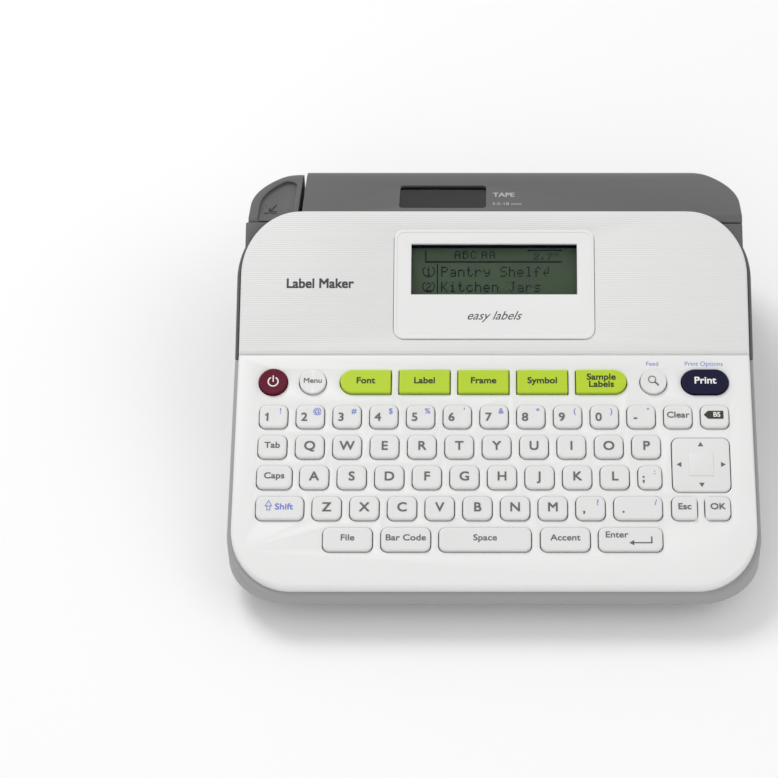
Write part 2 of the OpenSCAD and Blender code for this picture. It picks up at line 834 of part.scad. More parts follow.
module roll(c, outer, inner, w = tape_w) between_y(64.5 - w/2, 64.5 + w/2)
    translate(c) difference() {
        circle(outer);
        circle(inner);
    }

module tape_roll() color([0.95, 0.95, 0.93]) roll(roll_c, roll_r, roll_hub_r + run);

module ribbon_supply() color([0.08, 0.08, 0.09]) roll(supply_c, supply_r, spindle_r + run);

module ribbon_takeup() color([0.08, 0.08, 0.09]) roll(takeup_c, takeup_r, spindle_r);

// The tape runs straight from the roll's tangent to the notch, then level
tape_from = [-40, tape_z];
tape_t = 0.2;

module label_tape() color([0.95, 0.95, 0.93]) {
    reach = roll_c - tape_from;
    angle = angle_of(reach) - asin((roll_r + 0.3)/norm(reach));
    end = tape_from + sqrt(reach*reach - pow(roll_r + 0.3, 2))*[cos(angle), sin(angle)];
    half = [0, tape_t/2];
    start = [-79.5, tape_z];
    between_y(tape_y, tape_y + tape_w)
        polygon([start - half, tape_from - half, end - half, end + half,
            tape_from + half, start + half]);
}

// ---- Printing mechanism -----------------------------------------------

module print_head() color(steel) between_y(frame_y[1], 72) polygon([
    [head_x - 1.5, tape_z + 0.2], [head_x + 1.5, tape_z + 0.2], [head_x + 2.5, 21.5],
    [-46.5, 21.5], [-46.5, 32], [-48.5, 32], [-48.5, 24], [-50.5, 24], [-50.5, 32],
    [-52.5, 32], [-52.5, 24], [-54.5, 24], [-54.5, 32], [-56.5, 32], [-56.5, 21.5],
    [head_x - 2.5, 21.5]]);

module arm_plate(y0) between_y(y0, y0 + 1.6) difference() {
    union() {
        polygon([platen_c + [0, 3], platen_c - [0, 3], arm_c - [0, 3], arm_c + [0, 3]]);
        translate(platen_c) circle(3);
        translate(arm_c) circle(3);
    }
    translate(platen_c) circle(pin_r + run);
    translate(arm_c) circle(pin_r + run);
}

module platen_arm() color(charcoal) {
    for (y = [51.8, 75.4]) arm_plate(y);
    block([-40, -35], [51.8, 77], [9.2, 10.6]);
}

module platen_roller() color([0.12, 0.12, 0.13]) {
    rod_y(56.5, 72.5, platen_c, platen_r);
    rod_y(gear_y[0], 77.4, platen_c, pin_r);
}

// Involute flank, from the base circle to the tip
pressure = 20;

function involute(base, r) = let (t = sqrt(max(0, r*r/(base*base) - 1))) t*180/PI - atan(t);

function tooth(n, k) =
    let (pitch = gear_m*n/2, base = pitch*cos(pressure), tip = pitch + 0.85*gear_m,
        root = pitch - 1.15*gear_m, start = max(base, root),
        half = 90/n - 0.10*180/(PI*pitch) + involute(base, pitch),
        flank = [for (i = [0:3]) let (r = start + (tip - start)*i/3) [r, involute(base, r)]],
        a = 360*k/n)
    concat([[root, a - half]], [for (f = flank) [f[0], a - half + f[1]]],
        [for (i = [3:-1:0]) [flank[i][0], a + half - flank[i][1]]], [[root, a + half]]);

module gear_shape(n) polygon([for (k = [0:n - 1]) for (p = tooth(n, k))
    p[0]*[cos(p[1]), sin(p[1])]]);

module gear(c, n, turn, bore) between_y(gear_y[0], gear_y[1]) translate(c) difference() {
    rotate(turn) gear_shape(n);
    circle(bore);
}

drive_turn = 0;
platen_turn = in_mesh(drive_turn, drive_teeth, drive_c, platen_teeth, platen_c);
pinion_turn = in_mesh(drive_turn, drive_teeth, drive_c, pinion_teeth, pinion_c);
transfer_turn = in_mesh(pinion_turn, pinion_teeth, pinion_c, transfer_teeth, transfer_c);
ribbon_turn = in_mesh(transfer_turn, transfer_teeth, transfer_c, ribbon_teeth, takeup_c);

module platen_gear() color(nylon) gear(platen_c, platen_teeth, platen_turn, pin_r);

module drive_gear() color(nylon) gear(drive_c, drive_teeth, drive_turn, pin_r + run);

module transfer_gear() color(nylon) gear(transfer_c, transfer_teeth, transfer_turn, pin_r + run);

module ribbon_gear() color(nylon) {
    gear(takeup_c, ribbon_teeth, ribbon_turn, 1);
    rod_y(gear_y[0], 70.5, takeup_c, spindle_r);
}

module motor_pinion() color([0.80, 0.66, 0.36]) {
    gear(pinion_c, pinion_teeth, pinion_turn, 0.9);
    rod_y(38, gear_y[1], pinion_c, 1);
}

motor_y = [19, 41];

module motor() color(steel) difference() {
    union() {
        rod_y(motor_y[0], motor_y[1], pinion_c, 10);
        rod_y(motor_y[0] - 2, motor_y[0], pinion_c, 4);
    }
    rod_y(motor_y[1] - 4, motor_y[1] + 1, pinion_c, 1 + run);
}

module motor_bracket() color(steel) {
    difference() {
        between_y(motor_y[1], motor_y[1] + 1.2) translate([pinion_c[0], 33]) square([18, 40], center = true);
        rod_y(30, 50, pinion_c, 3.2);
    }
    for (z = [16, 50]) rod_y(motor_y[1] + 1.2, frame_y[0], [pinion_c[0], z], 2.4);
}

module batteries() color([0.20, 0.22, 0.24])
    for (y = cell_y, z = cell_z) {
        rod_x(cell_x[0], cell_x[1] - 1.5, [y, z], cell_r);
        rod_x(cell_x[1] - 1.5, cell_x[1], [y, z], 2.7);
    }

module battery_contacts() color(steel)
    for (y = cell_y, z = cell_z) {
        block([cell_x[1] + 0.2, cell_x[1] + 0.8], [y - 6, y + 6], [z - 6, z + 6]);
        block([20.2, 20.8], [y - 6, y + 6], [z - 6, z + 6]);
        rod_x(20.8, cell_x[0] - 0.1, [y, z], 2.5);
    }

// ---- The nodes --------------------------------------------------------

base_housing();
rear_housing();
keyboard_panel();
display_panel();
display_bezel();
display_window();
lcd_glass();
lcd_holder();
display_cable();
key_sheet();
key_board();
main_board();
case_screws();
rubber_feet();
dc_jack();
back_cover();
cover_window();
hinge_pins();
mech_frame();
cutter_lever();
cutter_carriage();
cutter_blade();
cutter_rods();
cutter_springs();
cutter_anvil();
cassette_shell();
tape_roll();
label_tape();
ribbon_supply();
ribbon_takeup();
print_head();
platen_arm();
platen_roller();
platen_gear();
drive_gear();
transfer_gear();
ribbon_gear();
motor();
motor_pinion();
motor_bracket();
batteries();
battery_contacts();
function_key(0, wine);  // power_key
function_key(1, white);  // menu_key
function_key(2, green);  // font_key
function_key(3, green);  // label_key
function_key(4, green);  // frame_key
function_key(5, green);  // symbol_key
function_key(6, green);  // sample_key
function_key(7, white);  // preview_key
function_key(8, navy);  // print_key
row_keys(4);  // number_keys
row_keys(3);  // upper_letter_keys
row_keys(2);  // home_letter_keys
row_keys(1);  // lower_letter_keys
row_keys(0);  // space_row_keys
nav_pad();
nav_stem();
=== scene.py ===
import bpy
import json
import math
from mathutils import Matrix, Vector

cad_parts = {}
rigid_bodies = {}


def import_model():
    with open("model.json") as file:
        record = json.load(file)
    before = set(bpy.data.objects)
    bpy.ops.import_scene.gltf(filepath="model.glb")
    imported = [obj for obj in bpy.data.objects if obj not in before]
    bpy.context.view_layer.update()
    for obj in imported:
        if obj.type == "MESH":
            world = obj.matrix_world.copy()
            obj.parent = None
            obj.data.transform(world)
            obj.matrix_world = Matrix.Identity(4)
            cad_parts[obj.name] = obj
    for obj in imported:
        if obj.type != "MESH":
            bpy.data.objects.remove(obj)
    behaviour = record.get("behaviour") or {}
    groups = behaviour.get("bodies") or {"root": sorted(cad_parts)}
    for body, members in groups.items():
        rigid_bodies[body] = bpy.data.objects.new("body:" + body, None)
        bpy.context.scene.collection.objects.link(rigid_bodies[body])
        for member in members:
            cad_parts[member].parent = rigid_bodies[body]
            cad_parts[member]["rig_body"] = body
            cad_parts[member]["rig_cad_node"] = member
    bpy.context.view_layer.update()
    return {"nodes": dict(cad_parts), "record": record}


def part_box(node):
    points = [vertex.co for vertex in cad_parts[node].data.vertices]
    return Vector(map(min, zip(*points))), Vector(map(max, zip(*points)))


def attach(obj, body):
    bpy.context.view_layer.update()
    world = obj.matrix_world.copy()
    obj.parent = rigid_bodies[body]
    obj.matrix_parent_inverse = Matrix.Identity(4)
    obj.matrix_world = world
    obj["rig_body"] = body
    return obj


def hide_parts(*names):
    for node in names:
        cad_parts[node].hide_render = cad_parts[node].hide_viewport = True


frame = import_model()
nodes = frame["nodes"]
mm = 0.001
print("frame loaded:", len(nodes), "nodes")

# Slopes of the two top panels; their places come from the frame
panelShape = {"keySlope": 17.5, "displaySlope": 27.0, "frontHeight": 20 * mm, "keyLength": 90 * mm}
keySlope = math.radians(panelShape["keySlope"])
displaySlope = math.radians(panelShape["displaySlope"])
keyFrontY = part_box("keyboard_panel")[0].y
creaseY = keyFrontY + panelShape["keyLength"] * math.cos(keySlope)
creaseZ = panelShape["frontHeight"] + panelShape["keyLength"] * math.sin(keySlope)
keyPlane = Matrix.Translation((0, keyFrontY, panelShape["frontHeight"])) @ Matrix.Rotation(keySlope, 4, "X")
displayPlane = Matrix.Translation((0, creaseY, creaseZ)) @ Matrix.Rotation(displaySlope, 4, "X")


# Small helpers for working with operators

def activate(obj):
    if bpy.context.object and bpy.context.object.mode != "OBJECT":
        bpy.ops.object.mode_set(mode="OBJECT")
    bpy.ops.object.select_all(action="DESELECT")
    obj.hide_set(False)
    obj.select_set(True)
    bpy.context.view_layer.objects.active = obj


def leaveEdit():
    bpy.ops.object.mode_set(mode="OBJECT")


# Faces or edges that pass the test are left selected in edit mode
def pickParts(obj, kind, members, test):
    activate(obj)
    bpy.ops.object.mode_set(mode="EDIT")
    bpy.ops.mesh.select_mode(type=kind)
    bpy.ops.mesh.select_all(action="DESELECT")
    leaveEdit()
    for part in getattr(obj.data, members):
        part.select = bool(test(part))
    bpy.ops.object.mode_set(mode="EDIT")


def pickFaces(obj, test):
    pickParts(obj, "FACE", "polygons", test)


def roundEdges(obj, test, offset, segments, clamp=False):
    def testEnds(edge):
        first, second = edge.vertices
        return test(obj.data.vertices[first].co, obj.data.vertices[second].co)

    pickParts(obj, "EDGE", "edges", testEnds)
    bpy.ops.mesh.bevel(offset=offset, segments=segments, affect="EDGES", clamp_overlap=clamp)
    leaveEdit()


def cutFaces(obj, test, inset=0):
    pickFaces(obj, test)
    if inset:
        bpy.ops.mesh.inset(thickness=inset)
    bpy.ops.mesh.delete(type="FACE")
    leaveEdit()


def applyPlace(obj):
    activate(obj)
    bpy.ops.object.transform_apply(location=True, rotation=True, scale=True)


def setDown(obj, plane):
    obj.matrix_world = plane
    applyPlace(obj)
    return obj


def copyOf(obj):
    activate(obj)
    bpy.ops.object.duplicate()
    return bpy.context.object


def joined(parts, name):
    for part in parts:
        if part.location.length or part.scale != Vector((1, 1, 1)):
            applyPlace(part)
    activate(parts[0])
    for part in parts[1:]:
        part.select_set(True)
    if len(parts) > 1:
        bpy.ops.object.join()
    parts[0].name = name
    return parts[0]


def addModifier(obj, kind, **settings):
    activate(obj)
    modifier = obj.modifiers.new(kind.lower(), kind)
    for key, value in settings.items():
        setattr(modifier, key, value)
    bpy.ops.object.modifier_apply(modifier=modifier.name)


def smooth(obj, angle):
    activate(obj)
    bpy.ops.object.shade_smooth_by_angle(angle=math.radians(angle))


def makeBox(low, high):
    bpy.ops.object.select_all(action="DESELECT")
    centre = [(a + b) / 2 for a, b in zip(low, high)]
    bpy.ops.mesh.primitive_cube_add(size=1, location=centre, scale=[b - a for a, b in zip(low, high)])
    obj = bpy.context.object
    applyPlace(obj)
    return obj


def makeDisc(centre, radius, thick, sides=32):
    bpy.ops.object.select_all(action="DESELECT")
    bpy.ops.mesh.primitive_cylinder_add(vertices=sides, radius=radius, depth=thick, location=centre)
    obj = bpy.context.object
    applyPlace(obj)
    return obj


textShape = {"capHeight": 0.73, "lineSpace": 0.85, "curveSteps": 5, "thick": 0.02 * mm}


# Heavier strokes come from copies moved a little to each side
def makeText(words, height, x, y, z, bold=0.0, slant=0.0, wide=1.0):
    bpy.ops.object.select_all(action="DESELECT")
    bpy.ops.object.text_add()
    obj = bpy.context.object
    text = obj.data
    text.body = words
    text.size = height / textShape["capHeight"]
    text.align_x = "CENTER"
    text.align_y = "CENTER"
    text.shear = slant
    text.extrude = textShape["thick"]
    text.resolution_u = textShape["curveSteps"]
    text.space_line = textShape["lineSpace"]
    activate(obj)
    bpy.ops.object.convert(target="MESH")
    obj = bpy.context.object
    obj.scale = (wide, 1, 1)
    applyPlace(obj)
    strokes = [obj]
    if bold:
        for turn in (45, 135, 225, 315):
            stroke = copyOf(obj)
            stroke.location = (bold * height * math.cos(math.radians(turn)),
                               bold * height * math.sin(math.radians(turn)), turn * 0.00002 * mm)
            strokes.append(stroke)
    obj = joined(strokes, "words")
    obj.location = (x, y, z)
    applyPlace(obj)
    return obj


def finishPiece(obj, name, body, slot, material, *replaced):
    activate(obj)
    obj.name = name
    obj.data.name = name
    obj.data.materials.clear()
    obj.data.materials.append(material)
    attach(obj, body)
    if replaced:
        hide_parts(*replaced)
    return obj


# Shader groups that several finishes share

def newGroup(name, inputs, outputs):
    group = bpy.data.node_groups.new(name, "ShaderNodeTree")
    for label, value in inputs.items():
        socket = group.interface.new_socket(label, in_out="INPUT", socket_type="NodeSocketFloat")
        socket.default_value = value
    for label in outputs:
        group.interface.new_socket(label, in_out="OUTPUT", socket_type="NodeSocketFloat")
    return group, group.nodes.new("NodeGroupInput"), group.nodes.new("NodeGroupOutput")


def addNode(tree, kind, inputs=None, **settings):
    node = tree.nodes.new(kind)
    for key, value in settings.items():
        setattr(node, key, value)
    for key, value in (inputs or {}).items():
        node.inputs[key].default_value = value
    return node


# Each row: from a node's output to another node's input
def wire(tree, *rows):
    for start, output, end, socket in rows:
        tree.links.new(start.outputs[output], end.inputs[socket])


def moldGrainGroup():
    group, given, result = newGroup("moldGrain", {"Grain scale": 1500.0, "Patch scale": 25.0},
                                    ["Height", "Patches"])
    place = addNode(group, "ShaderNodeTexCoord")
    fine = addNode(group, "ShaderNodeTexNoise", {"Detail": 3.0, "Roughness": 0.6})
    broad = addNode(group, "ShaderNodeTexNoise", {"Detail": 4.0, "Roughness": 0.55})
    wire(group, (place, "Object", fine, "Vector"), (place, "Object", broad, "Vector"),
         (given, "Grain scale", fine, "Scale"), (given, "Patch scale", broad, "Scale"),
         (fine, "Fac", result, "Height"), (broad, "Fac", result, "Patches"))
    return group


# Edge mask from pointiness, broken up by noise: it marks the edges for wear and also for a painted sheen
# along them
def edgeWearAndSheenGroup():
    group, given, result = newGroup("edgeWearAndSheen", {"Low": 0.52, "High": 0.62, "Break scale": 120.0}, ["Wear"])
    shape = addNode(group, "ShaderNodeNewGeometry")
    place = addNode(group, "ShaderNodeTexCoord")
    breaks = addNode(group, "ShaderNodeTexNoise", {"Detail": 5.0})
    ramp = addNode(group, "ShaderNodeMapRange")
    both = addNode(group, "ShaderNodeMath", operation="MULTIPLY")
    wire(group, (shape, "Pointiness", ramp, "Value"), (given, "Low", ramp, "From Min"),
         (given, "High", ramp, "From Max"), (place, "Object", breaks, "Vector"),
         (given, "Break scale", breaks, "Scale"), (ramp, "Result", both, 0), (breaks, "Fac", both, 1),
         (both, "Value", result, "Wear"))
    return group


def brushGroup():
    group, given, result = newGroup("brushLines", {"Across": 2500.0, "Along": 60.0}, ["Height", "Streaks"])
    place = addNode(group, "ShaderNodeTexCoord")
    stretch = addNode(group, "ShaderNodeVectorMath", operation="MULTIPLY")
    scale = addNode(group, "ShaderNodeCombineXYZ")
    lines = addNode(group, "ShaderNodeTexNoise", {"Scale": 1.0, "Detail": 2.0})
    wire(group, (given, "Along", scale, "X"), (given, "Across", scale, "Y"), (given, "Across", scale, "Z"),
         (place, "Object", stretch, 0), (scale, "Vector", stretch, 1), (stretch, "Vector", lines, "Vector"),
         (lines, "Fac", result, "Height"), (lines, "Fac", result, "Streaks"))
    return group


moldGrain = moldGrainGroup()
edgeWearAndSheen = edgeWearAndSheenGroup()
brushLines = brushGroup()


def scaled(color, factor):
    return [min(1.0, c * factor) for c in color[:3]] + [1.0]


def newMaterial(name):
    material = bpy.data.materials.new(name)
    material.use_nodes = True
    return material, material.node_tree, material.node_tree.nodes["Principled BSDF"]


# How far the roughness goes to either side of its mean on moulded pieces
glossSpread = 0.08


# Moulded plastic, rubber and film: patches of tone, fine grain, paler or darker edges; the paler edges are
# partly wear and partly a painted sheen
def moulded(name, color, rough, grain=1500.0, depth=0.02, patches=0.03, patchScale=25.0, wearAndSheen=1.06,
            coat=0.0, shine=0.5):
    material, tree, shader = newMaterial(name)
    skin = addNode(tree, "ShaderNodeGroup", {"Grain scale": grain, "Patch scale": patchScale},
                   node_tree=moldGrain)
    edges = addNode(tree, "ShaderNodeGroup", node_tree=edgeWearAndSheen)
    tone = addNode(tree, "ShaderNodeMix", {"A": scaled(color, 1 - patches), "B": scaled(color, 1 + patches)},
                   data_type="RGBA")
    # Painted sheen: the edge mask mixes in a lighter copy of the colour, partly as wear and partly as a
    # painted highlight on the edges
    wearAndSheenTone = addNode(tree, "ShaderNodeMix", {"B": scaled(color, wearAndSheen)}, data_type="RGBA")
    dull = addNode(tree, "ShaderNodeMapRange", {"To Min": rough - glossSpread, "To Max": rough + glossSpread})
    bump = addNode(tree, "ShaderNodeBump", {"Strength": 1.0, "Distance": depth * mm})
    wire(tree, (skin, "Patches", tone, "Factor"), (tone, "Result", wearAndSheenTone, "A"),
         (edges, "Wear", wearAndSheenTone, "Factor"), (wearAndSheenTone, "Result", shader, "Base Color"),
         (skin, "Patches", dull, "Value"), (dull, "Result", shader, "Roughness"),
         (skin, "Height", bump, "Height"), (bump, "Normal", shader, "Normal"))
    shader.inputs["Coat Weight"].default_value = coat
    shader.inputs["Coat Roughness"].default_value = 0.15
    shader.inputs["Specular IOR Level"].default_value = shine
    return material


# White panel with fine ribs running from left to right
def ribbedPlastic(name, color, rough, pitch, slope):
    material = moulded(name, color, rough, grain=1800.0, depth=0.01, patches=0.02)
    tree = material.node_tree
    shader = tree.nodes["Principled BSDF"]
    oldBump = shader.inputs["Normal"].links[0].from_node
    place = addNode(tree, "ShaderNodeTexCoord")
    turn = addNode(tree, "ShaderNodeMapping", {"Rotation": (-slope, 0, 0)})
    split = addNode(tree, "ShaderNodeSeparateXYZ")
    wave = addNode(tree, "ShaderNodeMath", {1: 2 * math.pi / pitch}, operation="MULTIPLY")
    crest = addNode(tree, "ShaderNodeMath", operation="SINE")
    ribs = addNode(tree, "ShaderNodeBump", {"Strength": 1.0, "Distance": 0.035 * mm})
    wire(tree, (place, "Object", turn, "Vector"), (turn, "Vector", split, "Vector"), (split, "Y", wave, 0),
         (wave, "Value", crest, 0), (crest, "Value", ribs, "Height"), (oldBump, "Normal", ribs, "Normal"),
         (ribs, "Normal", shader, "Normal"))
    return material


def metal(name, color, rough):
    material, tree, shader = newMaterial(name)
    brush = addNode(tree, "ShaderNodeGroup", node_tree=brushLines)
    tone = addNode(tree, "ShaderNodeMix", {"A": scaled(color, 0.9), "B": scaled(color, 1.08)},
                   data_type="RGBA")
    dull = addNode(tree, "ShaderNodeMapRange", {"To Min": rough - 0.08, "To Max": rough + 0.12})
    bump = addNode(tree, "ShaderNodeBump", {"Strength": 1.0, "Distance": 0.01 * mm})
    wire(tree, (brush, "Streaks", tone, "Factor"), (tone, "Result", shader, "Base Color"),
         (brush, "Streaks", dull, "Value"), (dull, "Result", shader, "Roughness"),
         (brush, "Height", bump, "Height"), (bump, "Normal", shader, "Normal"))
    shader.inputs["Metallic"].default_value = 1.0
    return material


def glass(name, color, rough, ior):
    material, tree, shader = newMaterial(name)
    skin = addNode(tree, "ShaderNodeGroup", {"Grain scale": 300.0, "Patch scale": 60.0},
                   node_tree=moldGrain)
    smear = addNode(tree, "ShaderNodeMapRange", {"To Min": rough, "To Max": rough + 0.06})
    tone = addNode(tree, "ShaderNodeMix", {"A": scaled(color, 0.97), "B": scaled(color, 1.03)},
                   data_type="RGBA")
    wire(tree, (skin, "Patches", tone, "Factor"), (tone, "Result", shader, "Base Color"),
         (skin, "Patches", smear, "Value"), (smear, "Result", shader, "Roughness"))
    shader.inputs["Transmission Weight"].default_value = 1.0
    shader.inputs["IOR"].default_value = ior
    return material


# Green solder mask with copper traces a little paler than the board
def boardFinish(name):
    material = moulded(name, (0.015, 0.13, 0.06), 0.32, depth=0.005, coat=0.3)
    tree = material.node_tree
    shader = tree.nodes["Principled BSDF"]
    before = shader.inputs["Base Color"].links[0].from_socket
    place = addNode(tree, "ShaderNodeTexCoord")
    cells = addNode(tree, "ShaderNodeTexBrick", {"Scale": 220.0, "Mortar Size": 0.06, "Brick Width": 1.9,
                                                 "Row Height": 0.35}, offset=0.37, squash=0.6)
    for label in ("Color1", "Color2"):
        cells.inputs[label].default_value = (0, 0, 0, 1)
    cells.inputs["Mortar"].default_value = (1, 1, 1, 1)
    traces = addNode(tree, "ShaderNodeMix", data_type="RGBA")
    traces.inputs["B"].default_value = (0.05, 0.27, 0.12, 1)
    tree.links.new(before, traces.inputs["A"])
    wire(tree, (place, "Object", cells, "Vector"), (cells, "Color", traces, "Factor"),
         (traces, "Result", shader, "Base Color"))
    return material


# Stripes side by side along X: the conductors of a flat cable
def stripedFilm(name, light, dark, rough, pitch):
    material, tree, shader = newMaterial(name)
    place = addNode(tree, "ShaderNodeTexCoord")
    split = addNode(tree, "ShaderNodeSeparateXYZ")
    wave = addNode(tree, "ShaderNodeMath", {1: 2 * math.pi / pitch}, operation="MULTIPLY")
    crest = addNode(tree, "ShaderNodeMath", operation="SINE")
    step = addNode(tree, "ShaderNodeMapRange", {"From Min": -0.3, "From Max": 0.3})
    tone = addNode(tree, "ShaderNodeMix", {"A": scaled(dark, 1), "B": scaled(light, 1)}, data_type="RGBA")
    bump = addNode(tree, "ShaderNodeBump", {"Strength": 0.6, "Distance": 0.03 * mm})
    wire(tree, (place, "Object", split, "Vector"), (split, "X", wave, 0), (wave, "Value", crest, 0),
         (crest, "Value", step, "Value"), (step, "Result", tone, "Factor"),
         (tone, "Result", shader, "Base Color"), (crest, "Value", bump, "Height"),
         (bump, "Normal", shader, "Normal"))
    shader.inputs["Roughness"].default_value = rough
    return material


# Rings round a hub along Y, as on a roll of tape seen from its side
def woundFilm(name, light, dark, rough, pitch, centre):
    material, tree, shader = newMaterial(name)
    place = addNode(tree, "ShaderNodeTexCoord")
    move = addNode(tree, "ShaderNodeVectorMath", {1: (centre[0], 0, centre[1])}, operation="SUBTRACT")
    flat = addNode(tree, "ShaderNodeVectorMath", {1: (1, 0, 1)}, operation="MULTIPLY")
    size = addNode(tree, "ShaderNodeVectorMath", operation="LENGTH")
    wave = addNode(tree, "ShaderNodeMath", {1: 2 * math.pi / pitch}, operation="MULTIPLY")
    crest = addNode(tree, "ShaderNodeMath", operation="SINE")
    step = addNode(tree, "ShaderNodeMapRange", {"From Min": -1.0, "From Max": 1.0})
    tone = addNode(tree, "ShaderNodeMix", {"A": scaled(dark, 1), "B": scaled(light, 1)}, data_type="RGBA")
    wire(tree, (place, "Object", move, 0), (move, "Vector", flat, 0), (flat, "Vector", size, 0),
         (size, "Value", wave, 0), (wave, "Value", crest, 0), (crest, "Value", step, "Value"),
         (step, "Result", tone, "Factor"), (tone, "Result", shader, "Base Color"))
    shader.inputs["Roughness"].default_value = rough
    return material


def centreOf(node):
    low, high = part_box(node)
    return (low.x + high.x) / 2, (low.z + high.z) / 2


finish = {
    "whitePanel": moulded("whitePanel", (0.82, 0.82, 0.815), 0.42, grain=1400.0, depth=0.012, patches=0.015),
    "ribbedPanel": ribbedPlastic("ribbedPanel", (0.77, 0.77, 0.765), 0.45, 0.8 * mm, displaySlope),
    "lightGrey": moulded("lightGrey", (0.34, 0.34, 0.345), 0.5, grain=1600.0, depth=0.02, patches=0.03),
    # The dark plastics get strongly lightened edges: partly wear, partly a painted sheen
    "darkGrey": moulded("darkGrey", (0.105, 0.105, 0.108), 0.5, grain=1800.0, depth=0.035, patches=0.05,
                        wearAndSheen=1.25),
    "keyWhite": moulded("keyWhite", (0.77, 0.77, 0.765), 0.38, grain=1200.0, depth=0.008, patches=0.015),
    "keyGreen": moulded("keyGreen", (0.46, 0.64, 0.012), 0.42, grain=1200.0, depth=0.008, patches=0.03),
    "keyWine": moulded("keyWine", (0.12, 0.005, 0.022), 0.45, grain=1200.0, depth=0.006, patches=0.05,
                       shine=0.15),
    "keyNavy": moulded("keyNavy", (0.008, 0.009, 0.035), 0.45, grain=1200.0, depth=0.006, patches=0.05,
                       shine=0.15),
    "inkGrey": moulded("inkGrey", (0.12, 0.12, 0.12), 0.55, patches=0.1, depth=0.004),
    "inkCharcoal": moulded("inkCharcoal", (0.05, 0.05, 0.055), 0.5, patches=0.08, depth=0.004),
    "inkDark": moulded("inkDark", (0.02, 0.03, 0.01), 0.55, patches=0.1, depth=0.004),
    "inkBlue": moulded("inkBlue", (0.15, 0.20, 0.62), 0.55, patches=0.08, depth=0.004),
    "inkWhite": moulded("inkWhite", (0.85, 0.85, 0.85), 0.5, patches=0.05, depth=0.004),
    "inkPale": moulded("inkPale", (0.42, 0.43, 0.44), 0.5, patches=0.05, depth=0.004),
    "rubber": moulded("rubber", (0.018, 0.018, 0.018), 0.8, grain=900.0, depth=0.05, patches=0.15),
    "silicone": moulded("silicone", (0.6, 0.6, 0.58), 0.65, grain=900.0, depth=0.03, patches=0.04),
    "blackPlastic": moulded("blackPlastic", (0.022, 0.022, 0.024), 0.45, grain=1500.0, depth=0.03,
                            patches=0.12, wearAndSheen=1.8),
    "cassettePlastic": moulded("cassettePlastic", (0.075, 0.078, 0.085), 0.38, grain=1500.0, depth=0.02,
                               patches=0.08, wearAndSheen=1.4),
    "nylon": moulded("nylon", (0.66, 0.62, 0.50), 0.42, grain=900.0, depth=0.02, patches=0.05),
    "tapeFilm": moulded("tapeFilm", (0.78, 0.78, 0.76), 0.3, grain=500.0, depth=0.01, patches=0.03, coat=0.3),
    "ribbonSupply": woundFilm("ribbonSupply", (0.03, 0.03, 0.035), (0.008, 0.008, 0.01), 0.25, 0.4 * mm,
                              centreOf("ribbon_supply")),
    "ribbonTakeup": woundFilm("ribbonTakeup", (0.03, 0.03, 0.035), (0.008, 0.008, 0.01), 0.25, 0.4 * mm,
                              centreOf("ribbon_takeup")),
    "woundTape": woundFilm("woundTape", (0.80, 0.79, 0.75), (0.55, 0.54, 0.50), 0.45, 0.6 * mm,
                           centreOf("tape_roll")),
    "steel": metal("steel", (0.52, 0.53, 0.55), 0.32),
    "darkSteel": metal("darkSteel", (0.30, 0.30, 0.31), 0.38),
    "aluminium": metal("aluminium", (0.68, 0.69, 0.70), 0.35),
    "brass": metal("brass", (0.62, 0.44, 0.15), 0.3),
    "board": boardFinish("board"),
    "flatCable": stripedFilm("flatCable", (0.50, 0.30, 0.07), (0.28, 0.13, 0.02), 0.3, 1.0 * mm),
    "lcdGlass": moulded("lcdGlass", (0.052, 0.083, 0.045), 0.3, grain=2600.0, depth=0.003, patches=0.05),
    # Display ink, also used for the painted bezel shadow strip at the top of the display
    "lcdInk": moulded("lcdInk", (0.004, 0.005, 0.022), 0.45, patches=0.05, depth=0.002, shine=0.1),
    "cellWrap": moulded("cellWrap", (0.03, 0.033, 0.04), 0.3, grain=900.0, depth=0.01, patches=0.1, coat=0.4),
    "cellBand": moulded("cellBand", (0.50, 0.27, 0.06), 0.3, grain=900.0, depth=0.01, patches=0.06, coat=0.4),
    "clearWindow": glass("clearWindow", (0.96, 0.98, 0.96), 0.02, ior=1.05),
    "smokedWindow": glass("smokedWindow", (0.30, 0.30, 0.31), 0.04, ior=1.3),
}
print("finishes:", len(finish))


# CAD shells copied, merged and softened at their edges; angles in degrees
shellShape = {"weld": 0.002 * mm, "flatAngle": 0.4, "bevelAngle": 38, "smoothAngle": 32}


def refined(node, material, bevel, body="case", segments=2, before=None):
    obj = copyOf(nodes[node])
    obj.parent = None
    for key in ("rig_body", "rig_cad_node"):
        if key in obj:
            del obj[key]
    activate(obj)
    bpy.ops.object.mode_set(mode="EDIT")
    bpy.ops.mesh.select_all(action="SELECT")
    bpy.ops.mesh.remove_doubles(threshold=shellShape["weld"])
    bpy.ops.mesh.dissolve_limited(angle_limit=math.radians(shellShape["flatAngle"]))
    leaveEdit()
    if before:
        before(obj)
    if bevel:
        addModifier(obj, "BEVEL", width=bevel * mm, segments=segments, limit_method="ANGLE",
                    angle_limit=math.radians(shellShape["bevelAngle"]), use_clamp_overlap=False,
                    miter_outer="MITER_ARC")
    smooth(obj, shellShape["smoothAngle"])
    return finishPiece(obj, camel(node), body, slotOf(node), material, node)


def camel(node):
    first, *rest = node.split("_")
    return first + "".join(word.capitalize() for word in rest)


slots = {part["node"]: part["material_slot"] for part in frame["record"]["subparts"]}
bodyOf = {node: body for body, members in frame["record"]["behaviour"]["bodies"].items() for node in members}


def slotOf(node):
    return slots[node]


# Distance inside the white panels' rounded outline, negative outside it
panelLow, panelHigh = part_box("keyboard_panel")
outline = {"halfWidth": panelHigh.x, "front": panelLow.y, "rear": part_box("display_panel")[1].y,
           "radius": 21.5 * mm, "edgeRadius": 1.1 * mm}


